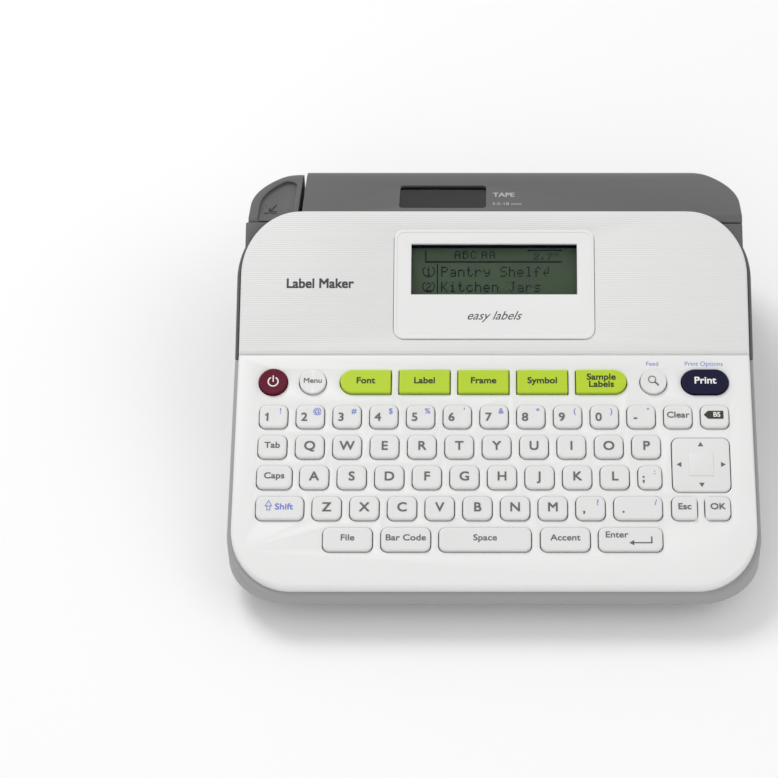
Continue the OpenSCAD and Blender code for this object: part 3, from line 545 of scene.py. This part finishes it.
def insideOutline(point):
    halfDepth = (outline["rear"] - outline["front"]) / 2
    middle = (outline["rear"] + outline["front"]) / 2
    dx = abs(point.x) - (outline["halfWidth"] - outline["radius"])
    dy = abs(point.y - middle) - (halfDepth - outline["radius"])
    return outline["radius"] - math.hypot(max(dx, 0), max(dy, 0)) - min(max(dx, dy), 0)


def roundOuterEdge(plane):
    flat = plane.inverted()

    def onRim(point):
        return abs((flat @ point).z) < 0.02 * mm and insideOutline(point) < 0.08 * mm

    def work(obj):
        roundEdges(obj, lambda a, b: onRim(a) and onRim(b), outline["edgeRadius"], 4)

    return work


refined("keyboard_panel", finish["whitePanel"], bevel=0.22, before=roundOuterEdge(keyPlane))
refined("display_panel", finish["ribbedPanel"], bevel=0.2, before=roundOuterEdge(displayPlane))
refined("base_housing", finish["lightGrey"], bevel=0.4, segments=3)
refined("rear_housing", finish["darkGrey"], bevel=0.4, segments=3)
refined("back_cover", finish["darkGrey"], bevel=0.35, segments=3, body="cover")
refined("cutter_lever", finish["darkGrey"], bevel=0.35, segments=3, body="lever")
refined("cover_window", finish["smokedWindow"], bevel=0, body="cover")
print("shells done")

plainCopies = {
    "mech_frame": ("blackPlastic", 0.25), "cassette_shell": ("cassettePlastic", 0.4),
    "print_head": ("aluminium", 0.15), "platen_arm": ("blackPlastic", 0.15), "platen_gear": ("nylon", 0.08),
    "drive_gear": ("nylon", 0.08), "transfer_gear": ("nylon", 0.08), "ribbon_gear": ("nylon", 0.08),
    "motor": ("steel", 0.4), "motor_pinion": ("brass", 0.05), "motor_bracket": ("steel", 0.15),
    "cutter_carriage": ("blackPlastic", 0.2), "cutter_anvil": ("steel", 0.1),
    "lcd_holder": ("whitePanel", 0.2), "dc_jack": ("blackPlastic", 0.2), "rubber_feet": ("rubber", 0.4),
    "case_screws": ("steel", 0.1),
    "platen_roller": ("rubber", 0.2), "main_board": ("board", 0.1), "key_board": ("board", 0.1),
    "key_sheet": ("silicone", 0.15), "battery_contacts": ("steel", 0.1), "cutter_blade": ("steel", 0.05),
}
for node, (look, width) in plainCopies.items():
    refined(node, finish[look], bevel=width, body=bodyOf[node])
print("inner pieces done:", len(plainCopies))

# Film, rolls, rods and glass keep their edges as they are
sharpCopies = {
    "display_cable": "flatCable", "lcd_glass": "lcdGlass", "display_window": "clearWindow",
    "hinge_pins": "steel", "cutter_rods": "steel", "cutter_springs": "darkSteel", "tape_roll": "woundTape",
    "label_tape": "tapeFilm",
    "ribbon_supply": "ribbonSupply", "ribbon_takeup": "ribbonTakeup", "nav_stem": "whitePanel",
}
for node, look in sharpCopies.items():
    refined(node, finish[look], bevel=0, body=bodyOf[node])
print("rolls, rods and films done:", len(sharpCopies))

# Six cells: a printed wrap with a copper band over a metal can
cellShape = {"radius": 7.1 * mm, "nub": 1.5 * mm, "nubRadius": 2.7 * mm, "open": 0.4 * mm,
             "wrapThick": 0.2 * mm, "band": (31 * mm, 47.5 * mm), "sides": 48}


def lyingDisc(x0, x1, radius, edge):
    disc = makeDisc((0, 0, 0), radius, x1 - x0, cellShape["sides"])
    disc.rotation_euler = (0, math.pi / 2, 0)
    disc.location = ((x0 + x1) / 2, 0, 0)
    applyPlace(disc)
    roundEdges(disc, lambda a, b: abs(a.x - b.x) < 0.01 * mm, edge, 3)
    return disc


def cells():
    low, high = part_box("batteries")
    radius, length = cellShape["radius"], high.x - low.x
    can = lyingDisc(0, length - cellShape["nub"], radius - cellShape["wrapThick"], 0.5 * mm)
    nub = lyingDisc(length - cellShape["nub"] - 1 * mm, length, cellShape["nubRadius"], 0.35 * mm)
    can = joined([can, nub], "can")
    wrap = lyingDisc(cellShape["open"], length - cellShape["nub"] - cellShape["open"], radius, 0.25 * mm)
    band = lyingDisc(*cellShape["band"], radius + 0.02 * mm, 0.01 * mm)
    places = [(y, z) for y in (low.y + radius, high.y - radius)
              for z in (low.z + radius, (low.z + high.z) / 2, high.z - radius)]
    layers = ((can, "cellCans", "steel", []), (wrap, "batteries", "cellWrap", ["batteries"]),
              (band, "cellBands", "cellBand", []))
    for part, name, look, replaced in layers:
        copies = []
        for y, z in places:
            copy = copyOf(part)
            copy.location = (low.x, y, z)
            copies.append(copy)
        bpy.data.objects.remove(part)
        row = joined(copies, name)
        smooth(row, 35)
        finishPiece(row, name, "case", slotOf("batteries"), finish[look], *replaced)


cells()
print("cells done")


# Keys: a rounded cap with a softly dished top, on a wider flange
keyShape = {"fillet": 0.6 * mm, "dish": 0.3 * mm, "dishSteps": (0.5 * mm, 0.8 * mm, 1.1 * mm),
            "corner": 2.3 * mm, "squareCorner": 0.5 * mm,
            "flangeOut": 0.6 * mm, "flangeTop": -3.3 * mm, "bottom": -4.2 * mm}


def capPatches(node, plane):
    flat = plane.inverted()
    mesh = nodes[node].data
    up = plane.to_3x3() @ Vector((0, 0, 1))
    places = [flat @ vertex.co for vertex in mesh.vertices]
    top = max(place.z for place in places)
    spans = []
    for face in mesh.polygons:
        corners = [places[i] for i in face.vertices]
        if face.normal.dot(up) > 0.99 and min(c.z for c in corners) > top - 0.1 * mm:
            spans.append([min(c.x for c in corners), max(c.x for c in corners),
                          min(c.y for c in corners), max(c.y for c in corners)])
    spans.sort()
    merged = []
    for span in spans:
        if merged and span[0] <= merged[-1][1] + 0.01 * mm:
            last = merged[-1]
            last[1] = max(last[1], span[1])
            last[2] = min(last[2], span[2])
            last[3] = max(last[3], span[3])
        else:
            merged.append(list(span))
    return [{"x": (a + b) / 2, "y": (c + d) / 2, "w": b - a, "h": d - c, "top": top} for a, b, c, d in merged]


capStore = {}


def makeCap(width, height, top, leftCorner, rightCorner, fillet):
    key = tuple(round(v * 1e6) for v in (width, height, top, leftCorner, rightCorner))
    if key in capStore:
        return copyOf(capStore[key])
    cap = makeBox((-width / 2, -height / 2, keyShape["flangeTop"]), (width / 2, height / 2, top))
    for side, corner in ((-1, leftCorner), (1, rightCorner)):
        roundEdges(cap, lambda a, b: abs(a.z - b.z) > 1 * mm and a.x * side > width / 2 - 0.01 * mm
                   and b.x * side > width / 2 - 0.01 * mm, corner, 10, clamp=True)
    roundEdges(cap, lambda a, b: min(a.z, b.z) > top - 0.01 * mm, fillet, 4, clamp=True)
    pickFaces(cap, lambda f: f.normal.z > 0.99 and f.center.z > top - 0.01 * mm)
    wide, deep = width - 2 * fillet, height - 2 * fillet
    for step in keyShape["dishSteps"]:
        down = -keyShape["dish"] * step / wide
        bpy.ops.mesh.extrude_region_move(TRANSFORM_OT_translate={"value": (0, 0, down)})
        bpy.ops.transform.resize(value=(1 - 2 * step / wide, 1 - 2 * step / deep, 1),
                                 center_override=(0, 0, top))
        wide, deep = wide - 2 * step, deep - 2 * step
    leaveEdit()
    pickFaces(cap, lambda f: f.normal.z < -0.99)
    grow = keyShape["flangeOut"]
    bpy.ops.mesh.extrude_region_move(TRANSFORM_OT_translate={"value": (0, 0, 0)})
    bpy.ops.transform.resize(value=(1 + 2 * grow / width, 1 + 2 * grow / height, 1),
                             center_override=(0, 0, 0))
    bpy.ops.mesh.extrude_region_move(
        TRANSFORM_OT_translate={"value": (0, 0, keyShape["bottom"] - keyShape["flangeTop"])})
    leaveEdit()
    smooth(cap, 30)
    capStore[key] = cap
    return copyOf(cap)


def placedCap(patch, leftCorner, rightCorner, fillet=None):
    cap = makeCap(patch["w"], patch["h"], patch["top"], leftCorner, rightCorner, fillet or keyShape["fillet"])
    cap.location = (patch["x"], patch["y"], 0)
    applyPlace(cap)
    return cap


# Legends by row, from left to right: main word and, in blue, the shifted sign
legends = {
    "number_keys": [("1", "!"), ("2", "@"), ("3", "#"), ("4", "$"), ("5", "%"), ("6", "'"), ("7", "&"),
                    ("8", "*"), ("9", "("), ("0", ")"), ("-", '"'), ("Clear", ""), ("BS", "")],
    "upper_letter_keys": [("Tab", "")] + [(letter, "") for letter in "QWERTYUIOP"],
    "home_letter_keys": [("Caps", "")] + [(letter, "") for letter in "ASDFGHJKL"] + [(";", ":")],
    "lower_letter_keys": [("Shift", "")] + [(letter, "") for letter in "ZXCVBNM"]
    + [(",", "?"), (".", "/"), ("Esc", ""), ("OK", "")],
    "space_row_keys": [("File", ""), ("Bar Code", ""), ("Space", ""), ("Accent", ""), ("Enter", "")],
}
legendLook = {"letter": 3.5 * mm, "word": 2.35 * mm, "digit": 3.3 * mm, "sign": 2.2 * mm, "lift": 0.01 * mm,
              "signOut": 2.5 * mm, "signUp": 1.9 * mm, "bold": 0.032, "wordWide": 1.14, "letterWide": 1.06}


def inkHeight(patch):
    return patch["top"] + legendLook["lift"]


def arrowHead(x, y, z, size, turn):
    bpy.ops.object.select_all(action="DESELECT")
    bpy.ops.mesh.primitive_cylinder_add(vertices=3, radius=size, depth=0.04 * mm, location=(x, y, z),
                                        rotation=(0, 0, math.radians(turn)))
    obj = bpy.context.object
    applyPlace(obj)
    return obj


def bar(x0, y0, x1, y1, z):
    return makeBox((x0, y0, z - 0.02 * mm), (x1, y1, z + 0.02 * mm))


def enterArrow(patch, z):
    right = patch["x"] + 7.6 * mm
    low = patch["y"] - 1.7 * mm
    return [bar(right - 0.5 * mm, low, right, low + 2.6 * mm, z),
            bar(right - 7 * mm, low, right, low + 0.45 * mm, z),
            arrowHead(right - 7 * mm, low + 0.22 * mm, z, 1.15 * mm, 90)]


def shiftArrow(patch, z):
    x = patch["x"] - 3.9 * mm
    y = patch["y"] + 0.5 * mm
    head = arrowHead(x, y + 0.8 * mm, z, 1.6 * mm, 0)
    cutFaces(head, lambda f: abs(f.normal.z) > 0.9, inset=0.25 * mm)
    parts = [head]
    for side in (-1, 1):
        middle = x + side * 0.55 * mm
        parts.append(bar(middle - 0.12 * mm, y - 1.5 * mm, middle + 0.12 * mm, y + 0.1 * mm, z))
    parts.append(bar(x - 0.6 * mm, y - 1.5 * mm, x + 0.6 * mm, y - 1.26 * mm, z))
    return parts


def backTag(patch, z):
    x = patch["x"]
    y = patch["y"] + 0.5 * mm
    tag = makeBox((x - 2.4 * mm, y - 1.55 * mm, z - 0.02 * mm), (x + 3.1 * mm, y + 1.55 * mm, z + 0.01 * mm))
    pickFaces(tag, lambda f: f.normal.x < -0.9)
    bpy.ops.mesh.extrude_region_move(TRANSFORM_OT_translate={"value": (-1.5 * mm, 0, 0)})
    bpy.ops.transform.resize(value=(1, 0.06, 1), center_override=(x, y, z))
    leaveEdit()
    return tag


def digitFlag(x, y, z):
    flag = bar(-0.75 * mm, -0.25 * mm, 0.25 * mm, 0.2 * mm, 0)
    flag.rotation_euler = (0, 0, math.radians(38))
    flag.location = (x, y, z)
    applyPlace(flag)
    return flag


def rowLegends(node, patches):
    grey, blue, white, dark = [], [], [], []
    wordHigh = legendLook["word"]
    for patch, (word, sign) in zip(patches, legends[node]):
        z = inkHeight(patch)
        x, y = patch["x"], patch["y"]
        bold, wordWide, letterWide = legendLook["bold"], legendLook["wordWide"], legendLook["letterWide"]
        if word == "BS":
            dark.append(backTag(patch, z))
            white.append(makeText("BS", 1.9 * mm, x + 0.7 * mm, y + 0.5 * mm, z + 0.03 * mm, bold=bold))
        elif word == "Shift":
            blue.append(makeText(word, wordHigh, x + 1.5 * mm, y + 0.3 * mm, z, bold=bold, wide=wordWide))
            blue += shiftArrow(patch, z)
        elif word == "Enter":
            grey.append(makeText(word, wordHigh, x - 4.9 * mm, y + 1.5 * mm, z, bold=bold, wide=wordWide))
            grey += enterArrow(patch, z)
        elif word in ";,.":
            shift = -2.3 * mm if word != "." else -5.2 * mm
            grey.append(makeText(word, legendLook["digit"], x + shift, y - 0.5 * mm, z, bold=0.04))
        elif node == "number_keys" and len(word) == 1:
            if word == "1":
                grey.append(digitFlag(x - 2.35 * mm, y + 0.75 * mm, z))
            grey.append(makeText(word, legendLook["digit"], x - 2.1 * mm, y - 0.5 * mm, z, bold=bold,
                                 wide=letterWide))
        elif len(word) == 1:
            grey.append(makeText(word, legendLook["letter"], x, y + 0.1 * mm, z, bold=bold, wide=letterWide))
        else:
            grey.append(makeText(word, wordHigh, x, y + 0.4 * mm, z, bold=bold, wide=wordWide))
        if sign:
            out = legendLook["signOut"] if word != "." else 6.2 * mm
            if word == ";":
                out = 1.7 * mm
            blue.append(makeText(sign, legendLook["sign"], x + out, y + legendLook["signUp"], z, bold=0.012))
    return {"inkGrey": grey, "inkBlue": blue, "inkWhite": white, "inkDark": dark}


def addInk(parts, plane, name, body, look, slot):
    if parts:
        ink = setDown(joined(parts, name), plane)
        finishPiece(ink, name, body, slot, finish[look])


for node in legends:
    patches = capPatches(node, keyPlane)
    caps = []
    for patch, (word, sign) in zip(patches, legends[node]):
        corners = [keyShape["corner"], keyShape["corner"]]
        if word == "Esc":
            corners[1] = 1.2 * mm
        if word == "OK":
            corners[0] = 1.2 * mm
        caps.append(placedCap(patch, *corners))
    row = setDown(joined(caps, camel(node)), keyPlane)
    finishPiece(row, camel(node), node, slotOf(node), finish["keyWhite"], node)
    for look, parts in rowLegends(node, patches).items():
        addInk(parts, keyPlane, camel(node) + "." + look, node, look, slotOf(node))
print("letter and digit keys done")

# Function keys: end shapes, colour and legend of each
functionKeys = {
    "power_key": {"ends": ("round", "round"), "look": "keyWine", "ink": "inkWhite", "word": ""},
    "menu_key": {"ends": ("round", "round"), "look": "keyWhite", "ink": "inkGrey", "word": "Menu"},
    "font_key": {"ends": ("round", "square"), "look": "keyGreen", "ink": "inkDark", "word": "Font"},
    "label_key": {"ends": ("square", "square"), "look": "keyGreen", "ink": "inkDark", "word": "Label"},
    "frame_key": {"ends": ("square", "square"), "look": "keyGreen", "ink": "inkDark", "word": "Frame"},
    "symbol_key": {"ends": ("square", "square"), "look": "keyGreen", "ink": "inkDark", "word": "Symbol"},
    "sample_key": {"ends": ("square", "round"), "look": "keyGreen", "ink": "inkDark",
                   "word": "Sample\nLabels"},
    "preview_key": {"ends": ("round", "round"), "look": "keyWhite", "ink": "inkGrey", "word": ""},
    "print_key": {"ends": ("round", "round"), "look": "keyNavy", "ink": "inkWhite", "word": "Print"},
}


def ring(x, y, z, radius, width, gap=0):
    disc = makeDisc((x, y, z), radius, 0.04 * mm, 40)
    cutFaces(disc, lambda f: abs(f.normal.z) > 0.9, inset=width)
    if gap:
        cutFaces(disc, lambda f: f.center.y > y and abs(f.center.x - x) < gap)
    return disc


def powerMark(patch, z):
    x, y = patch["x"], patch["y"]
    return [ring(x, y - 0.2 * mm, z, 2.0 * mm, 0.45 * mm, gap=0.75 * mm),
            bar(x - 0.2 * mm, y - 0.3 * mm, x + 0.2 * mm, y + 2.2 * mm, z)]


def lensMark(patch, z):
    x, y = patch["x"], patch["y"]
    handle = bar(-0.3 * mm, -3.3 * mm, 0.3 * mm, -1.3 * mm, 0)
    handle.rotation_euler = (0, 0, math.radians(45))
    handle.location = (x - 0.5 * mm, y + 0.7 * mm, z)
    applyPlace(handle)
    return [ring(x - 0.5 * mm, y + 0.7 * mm, z, 1.45 * mm, 0.3 * mm), handle]


for node, spec in functionKeys.items():
    patch = capPatches(node, keyPlane)[0]
    corners = [patch["h"] / 2 * 0.998 if end == "round" else keyShape["squareCorner"] for end in spec["ends"]]
    fillet = 0.5 * mm if "round" in spec["ends"] and "square" not in spec["ends"] else 0.35 * mm
    cap = setDown(placedCap(patch, *corners, fillet=fillet), keyPlane)
    finishPiece(cap, camel(node), node, slotOf(node), finish[spec["look"]], node)
    z = inkHeight(patch)
    if spec["word"]:
        size = {"Menu": 2.0, "Print": 2.7}.get(spec["word"], 2.45) * mm
        bold = 0.02 if spec["word"] == "Menu" else 0.045
        parts = [makeText(spec["word"], size, patch["x"], patch["y"] + 0.2 * mm, z, bold=bold, wide=1.1)]
    else:
        parts = powerMark(patch, z) if node == "power_key" else lensMark(patch, z)
    addInk(parts, keyPlane, camel(node) + ".legend", node, spec["ink"], slotOf(node))
for cap in capStore.values():
    bpy.data.objects.remove(cap)
print("function keys done")


# Arrow pad: a shallow tile with a raised square and four arrows
padShape = {"low": -4.5 * mm, "corner": 2.6 * mm, "square": 4.4 * mm, "squareRise": 0.35 * mm,
            "arrowOut": 7.6 * mm, "arrow": 1.15 * mm, "fillet": 0.6 * mm, "squareFillet": 0.3 * mm}


def arrowPad():
    patch = capPatches("nav_pad", keyPlane)[0]
    low, half = padShape["low"], padShape["square"]
    halfW, halfH, top = patch["w"] / 2, patch["h"] / 2, patch["top"] - padShape["squareRise"]
    pad = makeBox((-halfW, -halfH, low), (halfW, halfH, top))
    roundEdges(pad, lambda a, b: abs(a.z - b.z) > 1 * mm, padShape["corner"], 8)
    roundEdges(pad, lambda a, b: min(a.z, b.z) > top - 0.01 * mm, padShape["fillet"], 4)
    boss = makeBox((-half, -half, top - 0.5 * mm), (half, half, top + padShape["squareRise"]))
    roundEdges(boss, lambda a, b: min(a.z, b.z) > top or abs(a.z - b.z) > 0.1 * mm,
               padShape["squareFillet"], 3)
    pad = joined([pad, boss], "arrowPad")
    pad.location = (patch["x"], patch["y"], 0)
    applyPlace(pad)
    smooth(pad, 30)
    setDown(pad, keyPlane)
    finishPiece(pad, "arrowPad", "nav_pad", slotOf("nav_pad"), finish["keyWhite"], "nav_pad")
    out = padShape["arrowOut"]
    z = top + 0.02 * mm
    heads = [arrowHead(patch["x"] + dx * out, patch["y"] + dy * out, z, padShape["arrow"], turn)
             for dx, dy, turn in ((0, 1, 0), (-1, 0, 90), (0, -1, 180), (1, 0, 270))]
    addInk(heads, keyPlane, "arrowPad.arrows", "nav_pad", "inkGrey", slotOf("nav_pad"))


arrowPad()
print("arrow pad done")


# Bezel round the display: a raised rim with the window cut through it
bezelShape = {"corner": 3.6 * mm, "rim": 0.9 * mm, "recess": 0.28 * mm, "high": 0.5 * mm}


def patchOf(node, plane):
    flat = plane.inverted()
    places = [flat @ vertex.co for vertex in nodes[node].data.vertices]
    return [(min(p[i] for p in places), max(p[i] for p in places)) for i in range(3)]


def displayBezel():
    (x0, x1), (y0, y1), (z0, z1) = patchOf("display_bezel", displayPlane)
    plate = makeBox((x0, y0, z0), (x1, y1, z1))
    roundEdges(plate, lambda a, b: abs(a.z - b.z) > 0.5 * mm, bezelShape["corner"], 8)
    pickFaces(plate, lambda f: f.normal.z > 0.99)
    bpy.ops.mesh.inset(thickness=bezelShape["rim"])
    bpy.ops.mesh.inset(thickness=0.35 * mm, depth=-bezelShape["recess"])
    leaveEdit()
    (a0, a1), (b0, b1) = patchOf("display_window", displayPlane)[:2]
    edge = 2.2 * mm
    cutter = makeBox((a0 + edge, b0 + edge, z0 - 1 * mm), (a1 - edge, b1 - edge, z1 + 1 * mm))
    addModifier(plate, "BOOLEAN", object=cutter, operation="DIFFERENCE", solver="EXACT")
    bpy.data.objects.remove(cutter)
    addModifier(plate, "BEVEL", width=0.12 * mm, segments=2, limit_method="ANGLE",
                angle_limit=math.radians(50), use_clamp_overlap=False)
    smooth(plate, 30)
    setDown(plate, displayPlane)
    finishPiece(plate, "displayBezel", "case", slotOf("display_bezel"), finish["whitePanel"], "display_bezel")


displayBezel()

# Dot characters of the display, seven rows of five dots each
dotLetters = {
    "A": "01110 10001 10001 11111 10001 10001 10001", "B": "11110 10001 11110 10001 10001 10001 11110",
    "C": "01110 10001 10000 10000 10000 10001 01110", "K": "10001 10010 10100 11000 10100 10010 10001",
    "L": "10000 10000 10000 10000 10000 10000 11111", "P": "11110 10001 10001 11110 10000 10000 10000",
    "T": "11111 00100 00100 00100 00100 00100 00100", "J": "00111 00010 00010 00010 00010 10010 01100",
    "S": "01111 10000 10000 01110 00001 00001 11110",
    "a": "00000 00000 01110 00001 01111 10001 01111", "b": "10000 10000 11110 10001 10001 10001 11110",
    "c": "00000 00000 01110 10000 10000 10001 01110", "e": "00000 00000 01110 10001 11111 10000 01110",
    "f": "00110 01001 01000 11100 01000 01000 01000", "h": "10000 10000 11110 10001 10001 10001 10001",
    "i": "00100 00000 01100 00100 00100 00100 01110", "l": "01100 00100 00100 00100 00100 00100 01110",
    "n": "00000 00000 11110 10001 10001 10001 10001", "r": "00000 00000 10110 11001 10000 10000 10000",
    "s": "00000 00000 01111 10000 01110 00001 11110", "t": "01000 01000 11100 01000 01000 01001 00110",
    "y": "00000 00000 10001 10001 01111 00001 01110", " ": "00000 00000 00000 00000 00000 00000 00000",
    "1": "00100 01100 00100 00100 00100 00100 01110", "2": "01110 10001 00001 00110 01000 10000 11111",
    "7": "11111 00001 00010 00100 01000 01000 01000", ".": "00000 00000 00000 00000 00000 01100 01100",
    '"': "01010 01010 00000 00000 00000 00000 00000", "<": "00001 00001 00101 01001 11111 01000 00100",
}
dots = {"cellWidth": 3.1 * mm, "wide": 0.47 * mm, "tall": 0.56 * mm, "gap": 0.03 * mm,
        "columns": 5, "rows": 7}
glyphs = {}


# One letter is a grid with the unlit cells removed and the lit ones drawn in a little
def makeGlyph(letter):
    if letter not in glyphs:
        bpy.ops.object.select_all(action="DESELECT")
        bpy.ops.mesh.primitive_grid_add(x_subdivisions=dots["columns"], y_subdivisions=dots["rows"], size=1)
        glyph = bpy.context.object
        glyph.scale = (dots["columns"], dots["rows"], 1)
        glyph.location = (dots["columns"] / 2, dots["rows"] / 2, 0)
        applyPlace(glyph)
        rows = dotLetters[letter].split()
        cutFaces(glyph, lambda f: rows[dots["rows"] - 1 - int(f.center.y)][int(f.center.x)] == "0")
        glyphs[letter] = glyph
    return copyOf(glyphs[letter])


def dotText(words, left, low, z, wide, tall, cell):
    letters = []
    for place, letter in enumerate(words):
        if letter != " ":
            glyph = makeGlyph(letter)
            glyph.scale = (wide, tall, 1)
            glyph.location = (left + place * cell, low, z)
            letters.append(glyph)
    line = joined(letters, "dots")
    pickFaces(line, lambda f: True)
    bpy.ops.mesh.inset(thickness=dots["gap"] / 2, use_individual=True)
    bpy.ops.mesh.select_all(action="INVERT")
    bpy.ops.mesh.delete(type="FACE")
    leaveEdit()
    return line


def displayText():
    (a0, a1), (b0, b1) = patchOf("display_window", displayPlane)[:2]
    top = patchOf("lcd_glass", displayPlane)[2][1] + 0.01 * mm
    left, right = a0 + 7.4 * mm, a1 - 7.5 * mm
    low = b0 + 4.45 * mm
    wide, tall, cell = dots["wide"], dots["tall"], dots["cellWidth"]
    parts = []
    for line, words in enumerate(("Pantry Shelf<", "Kitchen Jars")):
        y = low + (1 - line) * 5.85 * mm
        parts.append(dotText(words, left + 5.7 * mm, y, top, wide, tall, cell))
        parts.append(dotText(str(line + 1), left + 0.1 * mm, y + 0.3 * mm, top, wide * 0.85, tall * 0.85,
                             cell))
        parts.append(ring(left + 1.1 * mm, y + 2.1 * mm, top, 2.3 * mm, 0.35 * mm, gap=1.2 * mm))
    for words, x, y, wider, taller, apart in (("ABC", 10.6, 12.85, 0.9, 0.75, 0.95),
                                              ("AA", 20.5, 12.85, 0.85, 0.72, 0.95),
                                              ('2.7"', 39.6, 12.5, 0.85, 0.6, 0.8)):
        parts.append(dotText(words, left + x * mm, low + y * mm, top, wide * wider, tall * taller,
                             cell * apart))
    parts.append(bar(left + 4.1 * mm, low - 0.4 * mm, left + 4.5 * mm, low + 10.75 * mm, top))
    parts.append(bar(left, low + 11.35 * mm, right, low + 11.9 * mm, top))
    parts.append(bar(left - 0.2 * mm, low + 11.35 * mm, left + 0.2 * mm, low + 16.2 * mm, top))
    parts.append(bar(left + 37.8 * mm, low + 15.9 * mm, right - 0.6 * mm, low + 16.2 * mm, top))
    parts += [arrowHead(left + 37.8 * mm, low + 16.05 * mm, top, 0.55 * mm, 90),
              arrowHead(right - 0.6 * mm, low + 16.05 * mm, top, 0.55 * mm, 270)]
    # Painted shadow: a dark strip along the top of the display stands in for the shadow of the bezel's upper
    # edge
    parts.append(bar(a0 + 2 * mm, b1 - 2.45 * mm, a1 - 2 * mm, b1 - 0.6 * mm, top))
    shown = setDown(joined(parts, "displayText"), displayPlane)
    finishPiece(shown, "displayText", "case", slotOf("lcd_glass"), finish["lcdInk"])
    for glyph in glyphs.values():
        bpy.data.objects.remove(glyph)


displayText()
print("display done")

# Plain generic marks where the case is printed
bodyShape = {"fall": 18.0, "drop": 2.6 * mm, "displayLength": 55 * mm, "restDepth": 1.4 * mm,
             "leverInset": 0.8 * mm}
bodyFall = -math.radians(bodyShape["fall"])
ridgeY = creaseY + bodyShape["displayLength"] * math.cos(displaySlope)
ridgeZ = creaseZ + bodyShape["displayLength"] * math.sin(displaySlope) - bodyShape["drop"]
bodyPlane = Matrix.Translation((0, ridgeY, ridgeZ)) @ Matrix.Rotation(bodyFall, 4, "X")
caseMark = [makeText("Label Maker", 3.7 * mm, -63.6 * mm, 26.5 * mm, 0.02 * mm, bold=0.05, wide=0.98)]
addInk(caseMark, displayPlane, "caseMark", "case", "inkCharcoal", "white_plastic")
bezelFace = bezelShape["high"] - bezelShape["recess"] + 0.02 * mm
bezelMark = [makeText("easy labels", 3.4 * mm, -0.3 * mm, 14.2 * mm, bezelFace, slant=0.45)]
addInk(bezelMark, displayPlane, "bezelMark", "case", "inkCharcoal", "white_plastic")
hints = [makeText("Feed", 1.75 * mm, 57.1 * mm, 85.8 * mm, 0.02 * mm),
         makeText("Print Options", 1.75 * mm, 75.7 * mm, 85.8 * mm, 0.02 * mm, wide=1.05)]
addInk(hints, keyPlane, "keyHints", "case", "inkBlue", "white_plastic")
coverMark = [makeText("TAPE", 3.6 * mm, 3.6 * mm, 17.4 * mm, 0.02 * mm, bold=0.04, wide=0.72),
             makeText("3.5-18 mm", 2.3 * mm, 4.7 * mm, 9.6 * mm, 0.02 * mm, bold=0.012, wide=0.8)]
addInk(coverMark, bodyPlane, "coverMark", "cover", "inkPale", "dark_grey_plastic")


# Scissors drawn in low relief on the lever's finger rest
def scissorsMark():
    place = {"x": -83.2 * mm, "s": 8.6 * mm, "bladeLength": 5.2 * mm, "blade": 0.55 * mm, "loop": 1.15 * mm}
    z = -(bodyShape["leverInset"] + bodyShape["restDepth"])
    parts = []
    for side in (-1, 1):
        blade = makeBox((-place["blade"] / 2, 0, -0.1 * mm),
                        (place["blade"] / 2, place["bladeLength"], 0.18 * mm))
        pickFaces(blade, lambda f: f.normal.y > 0.9)
        bpy.ops.transform.resize(value=(0.3, 1, 1), center_override=(0, place["bladeLength"], 0))
        leaveEdit()
        blade.rotation_euler = (0, 0, math.radians(side * 24))
        blade.location = (place["x"], place["s"], z)
        parts.append(blade)
        parts.append(ring(place["x"] + side * 1.35 * mm, place["s"] - 1.5 * mm, z + 0.05 * mm,
                          place["loop"], 0.4 * mm))
        shank = makeBox((-0.22 * mm, -0.8 * mm, -0.1 * mm), (0.22 * mm, 0.2 * mm, 0.18 * mm))
        shank.rotation_euler = (0, 0, math.radians(side * 45))
        shank.location = (place["x"], place["s"], z)
        parts.append(shank)
    for part in parts:
        applyPlace(part)
    mark = setDown(joined(parts, "leverMark"), bodyPlane)
    finishPiece(mark, "leverMark", "lever", "dark_grey_plastic", finish["blackPlastic"])


scissorsMark()
print("marks done")


# Floor, light and camera
def softLight(name, place, target, size, power):
    bpy.ops.object.select_all(action="DESELECT")
    bpy.ops.object.light_add(type="AREA", location=place)
    lamp = bpy.context.object
    lamp.name = name
    lamp.data.size = size
    lamp.data.energy = power
    lamp.rotation_euler = (Vector(target) - Vector(place)).to_track_quat("-Z", "Y").to_euler()


bpy.ops.object.select_all(action="DESELECT")
bpy.ops.mesh.primitive_plane_add(size=8, location=(0, 0, 0))
floor = bpy.context.object
floor.name = "floor"
floor.data.materials.append(moulded("floorPaint", (0.97, 0.97, 0.97), 0.7, grain=200.0, depth=0.01,
                                    patches=0.005, patchScale=3.0))

softLight("keyLight", (-0.5, 0.55, 1.2), (0, 0, 0.03), 0.6, 7)
softLight("fillLight", (0.9, -0.4, 1.1), (0, 0, 0.03), 1.0, 2.5)
softLight("frontLight", (-0.2, -1.3, 0.8), (0, 0, 0.03), 0.9, 2.5)

world = bpy.data.worlds.new("softRoom")
bpy.context.scene.world = world
world.use_nodes = True
world.node_tree.nodes["Background"].inputs["Color"].default_value = (1, 1, 1, 1)
world.node_tree.nodes["Background"].inputs["Strength"].default_value = 0.6

cameraSetup = {"place": (0, -0.6568, 0.7403), "tilt": 43.0, "lens": 121.9, "sensor": 36,
               "shiftX": -0.1351, "shiftY": -0.0231}
bpy.ops.object.camera_add(location=cameraSetup["place"], rotation=(math.radians(cameraSetup["tilt"]), 0, 0))
camera = bpy.context.object
camera.name = "camera"
camera.data.lens = cameraSetup["lens"]
camera.data.sensor_width = cameraSetup["sensor"]
camera.data.shift_x = cameraSetup["shiftX"]
camera.data.shift_y = cameraSetup["shiftY"]
bpy.context.scene.camera = camera
bpy.context.scene.view_settings.view_transform = "Standard"
print("stage done")
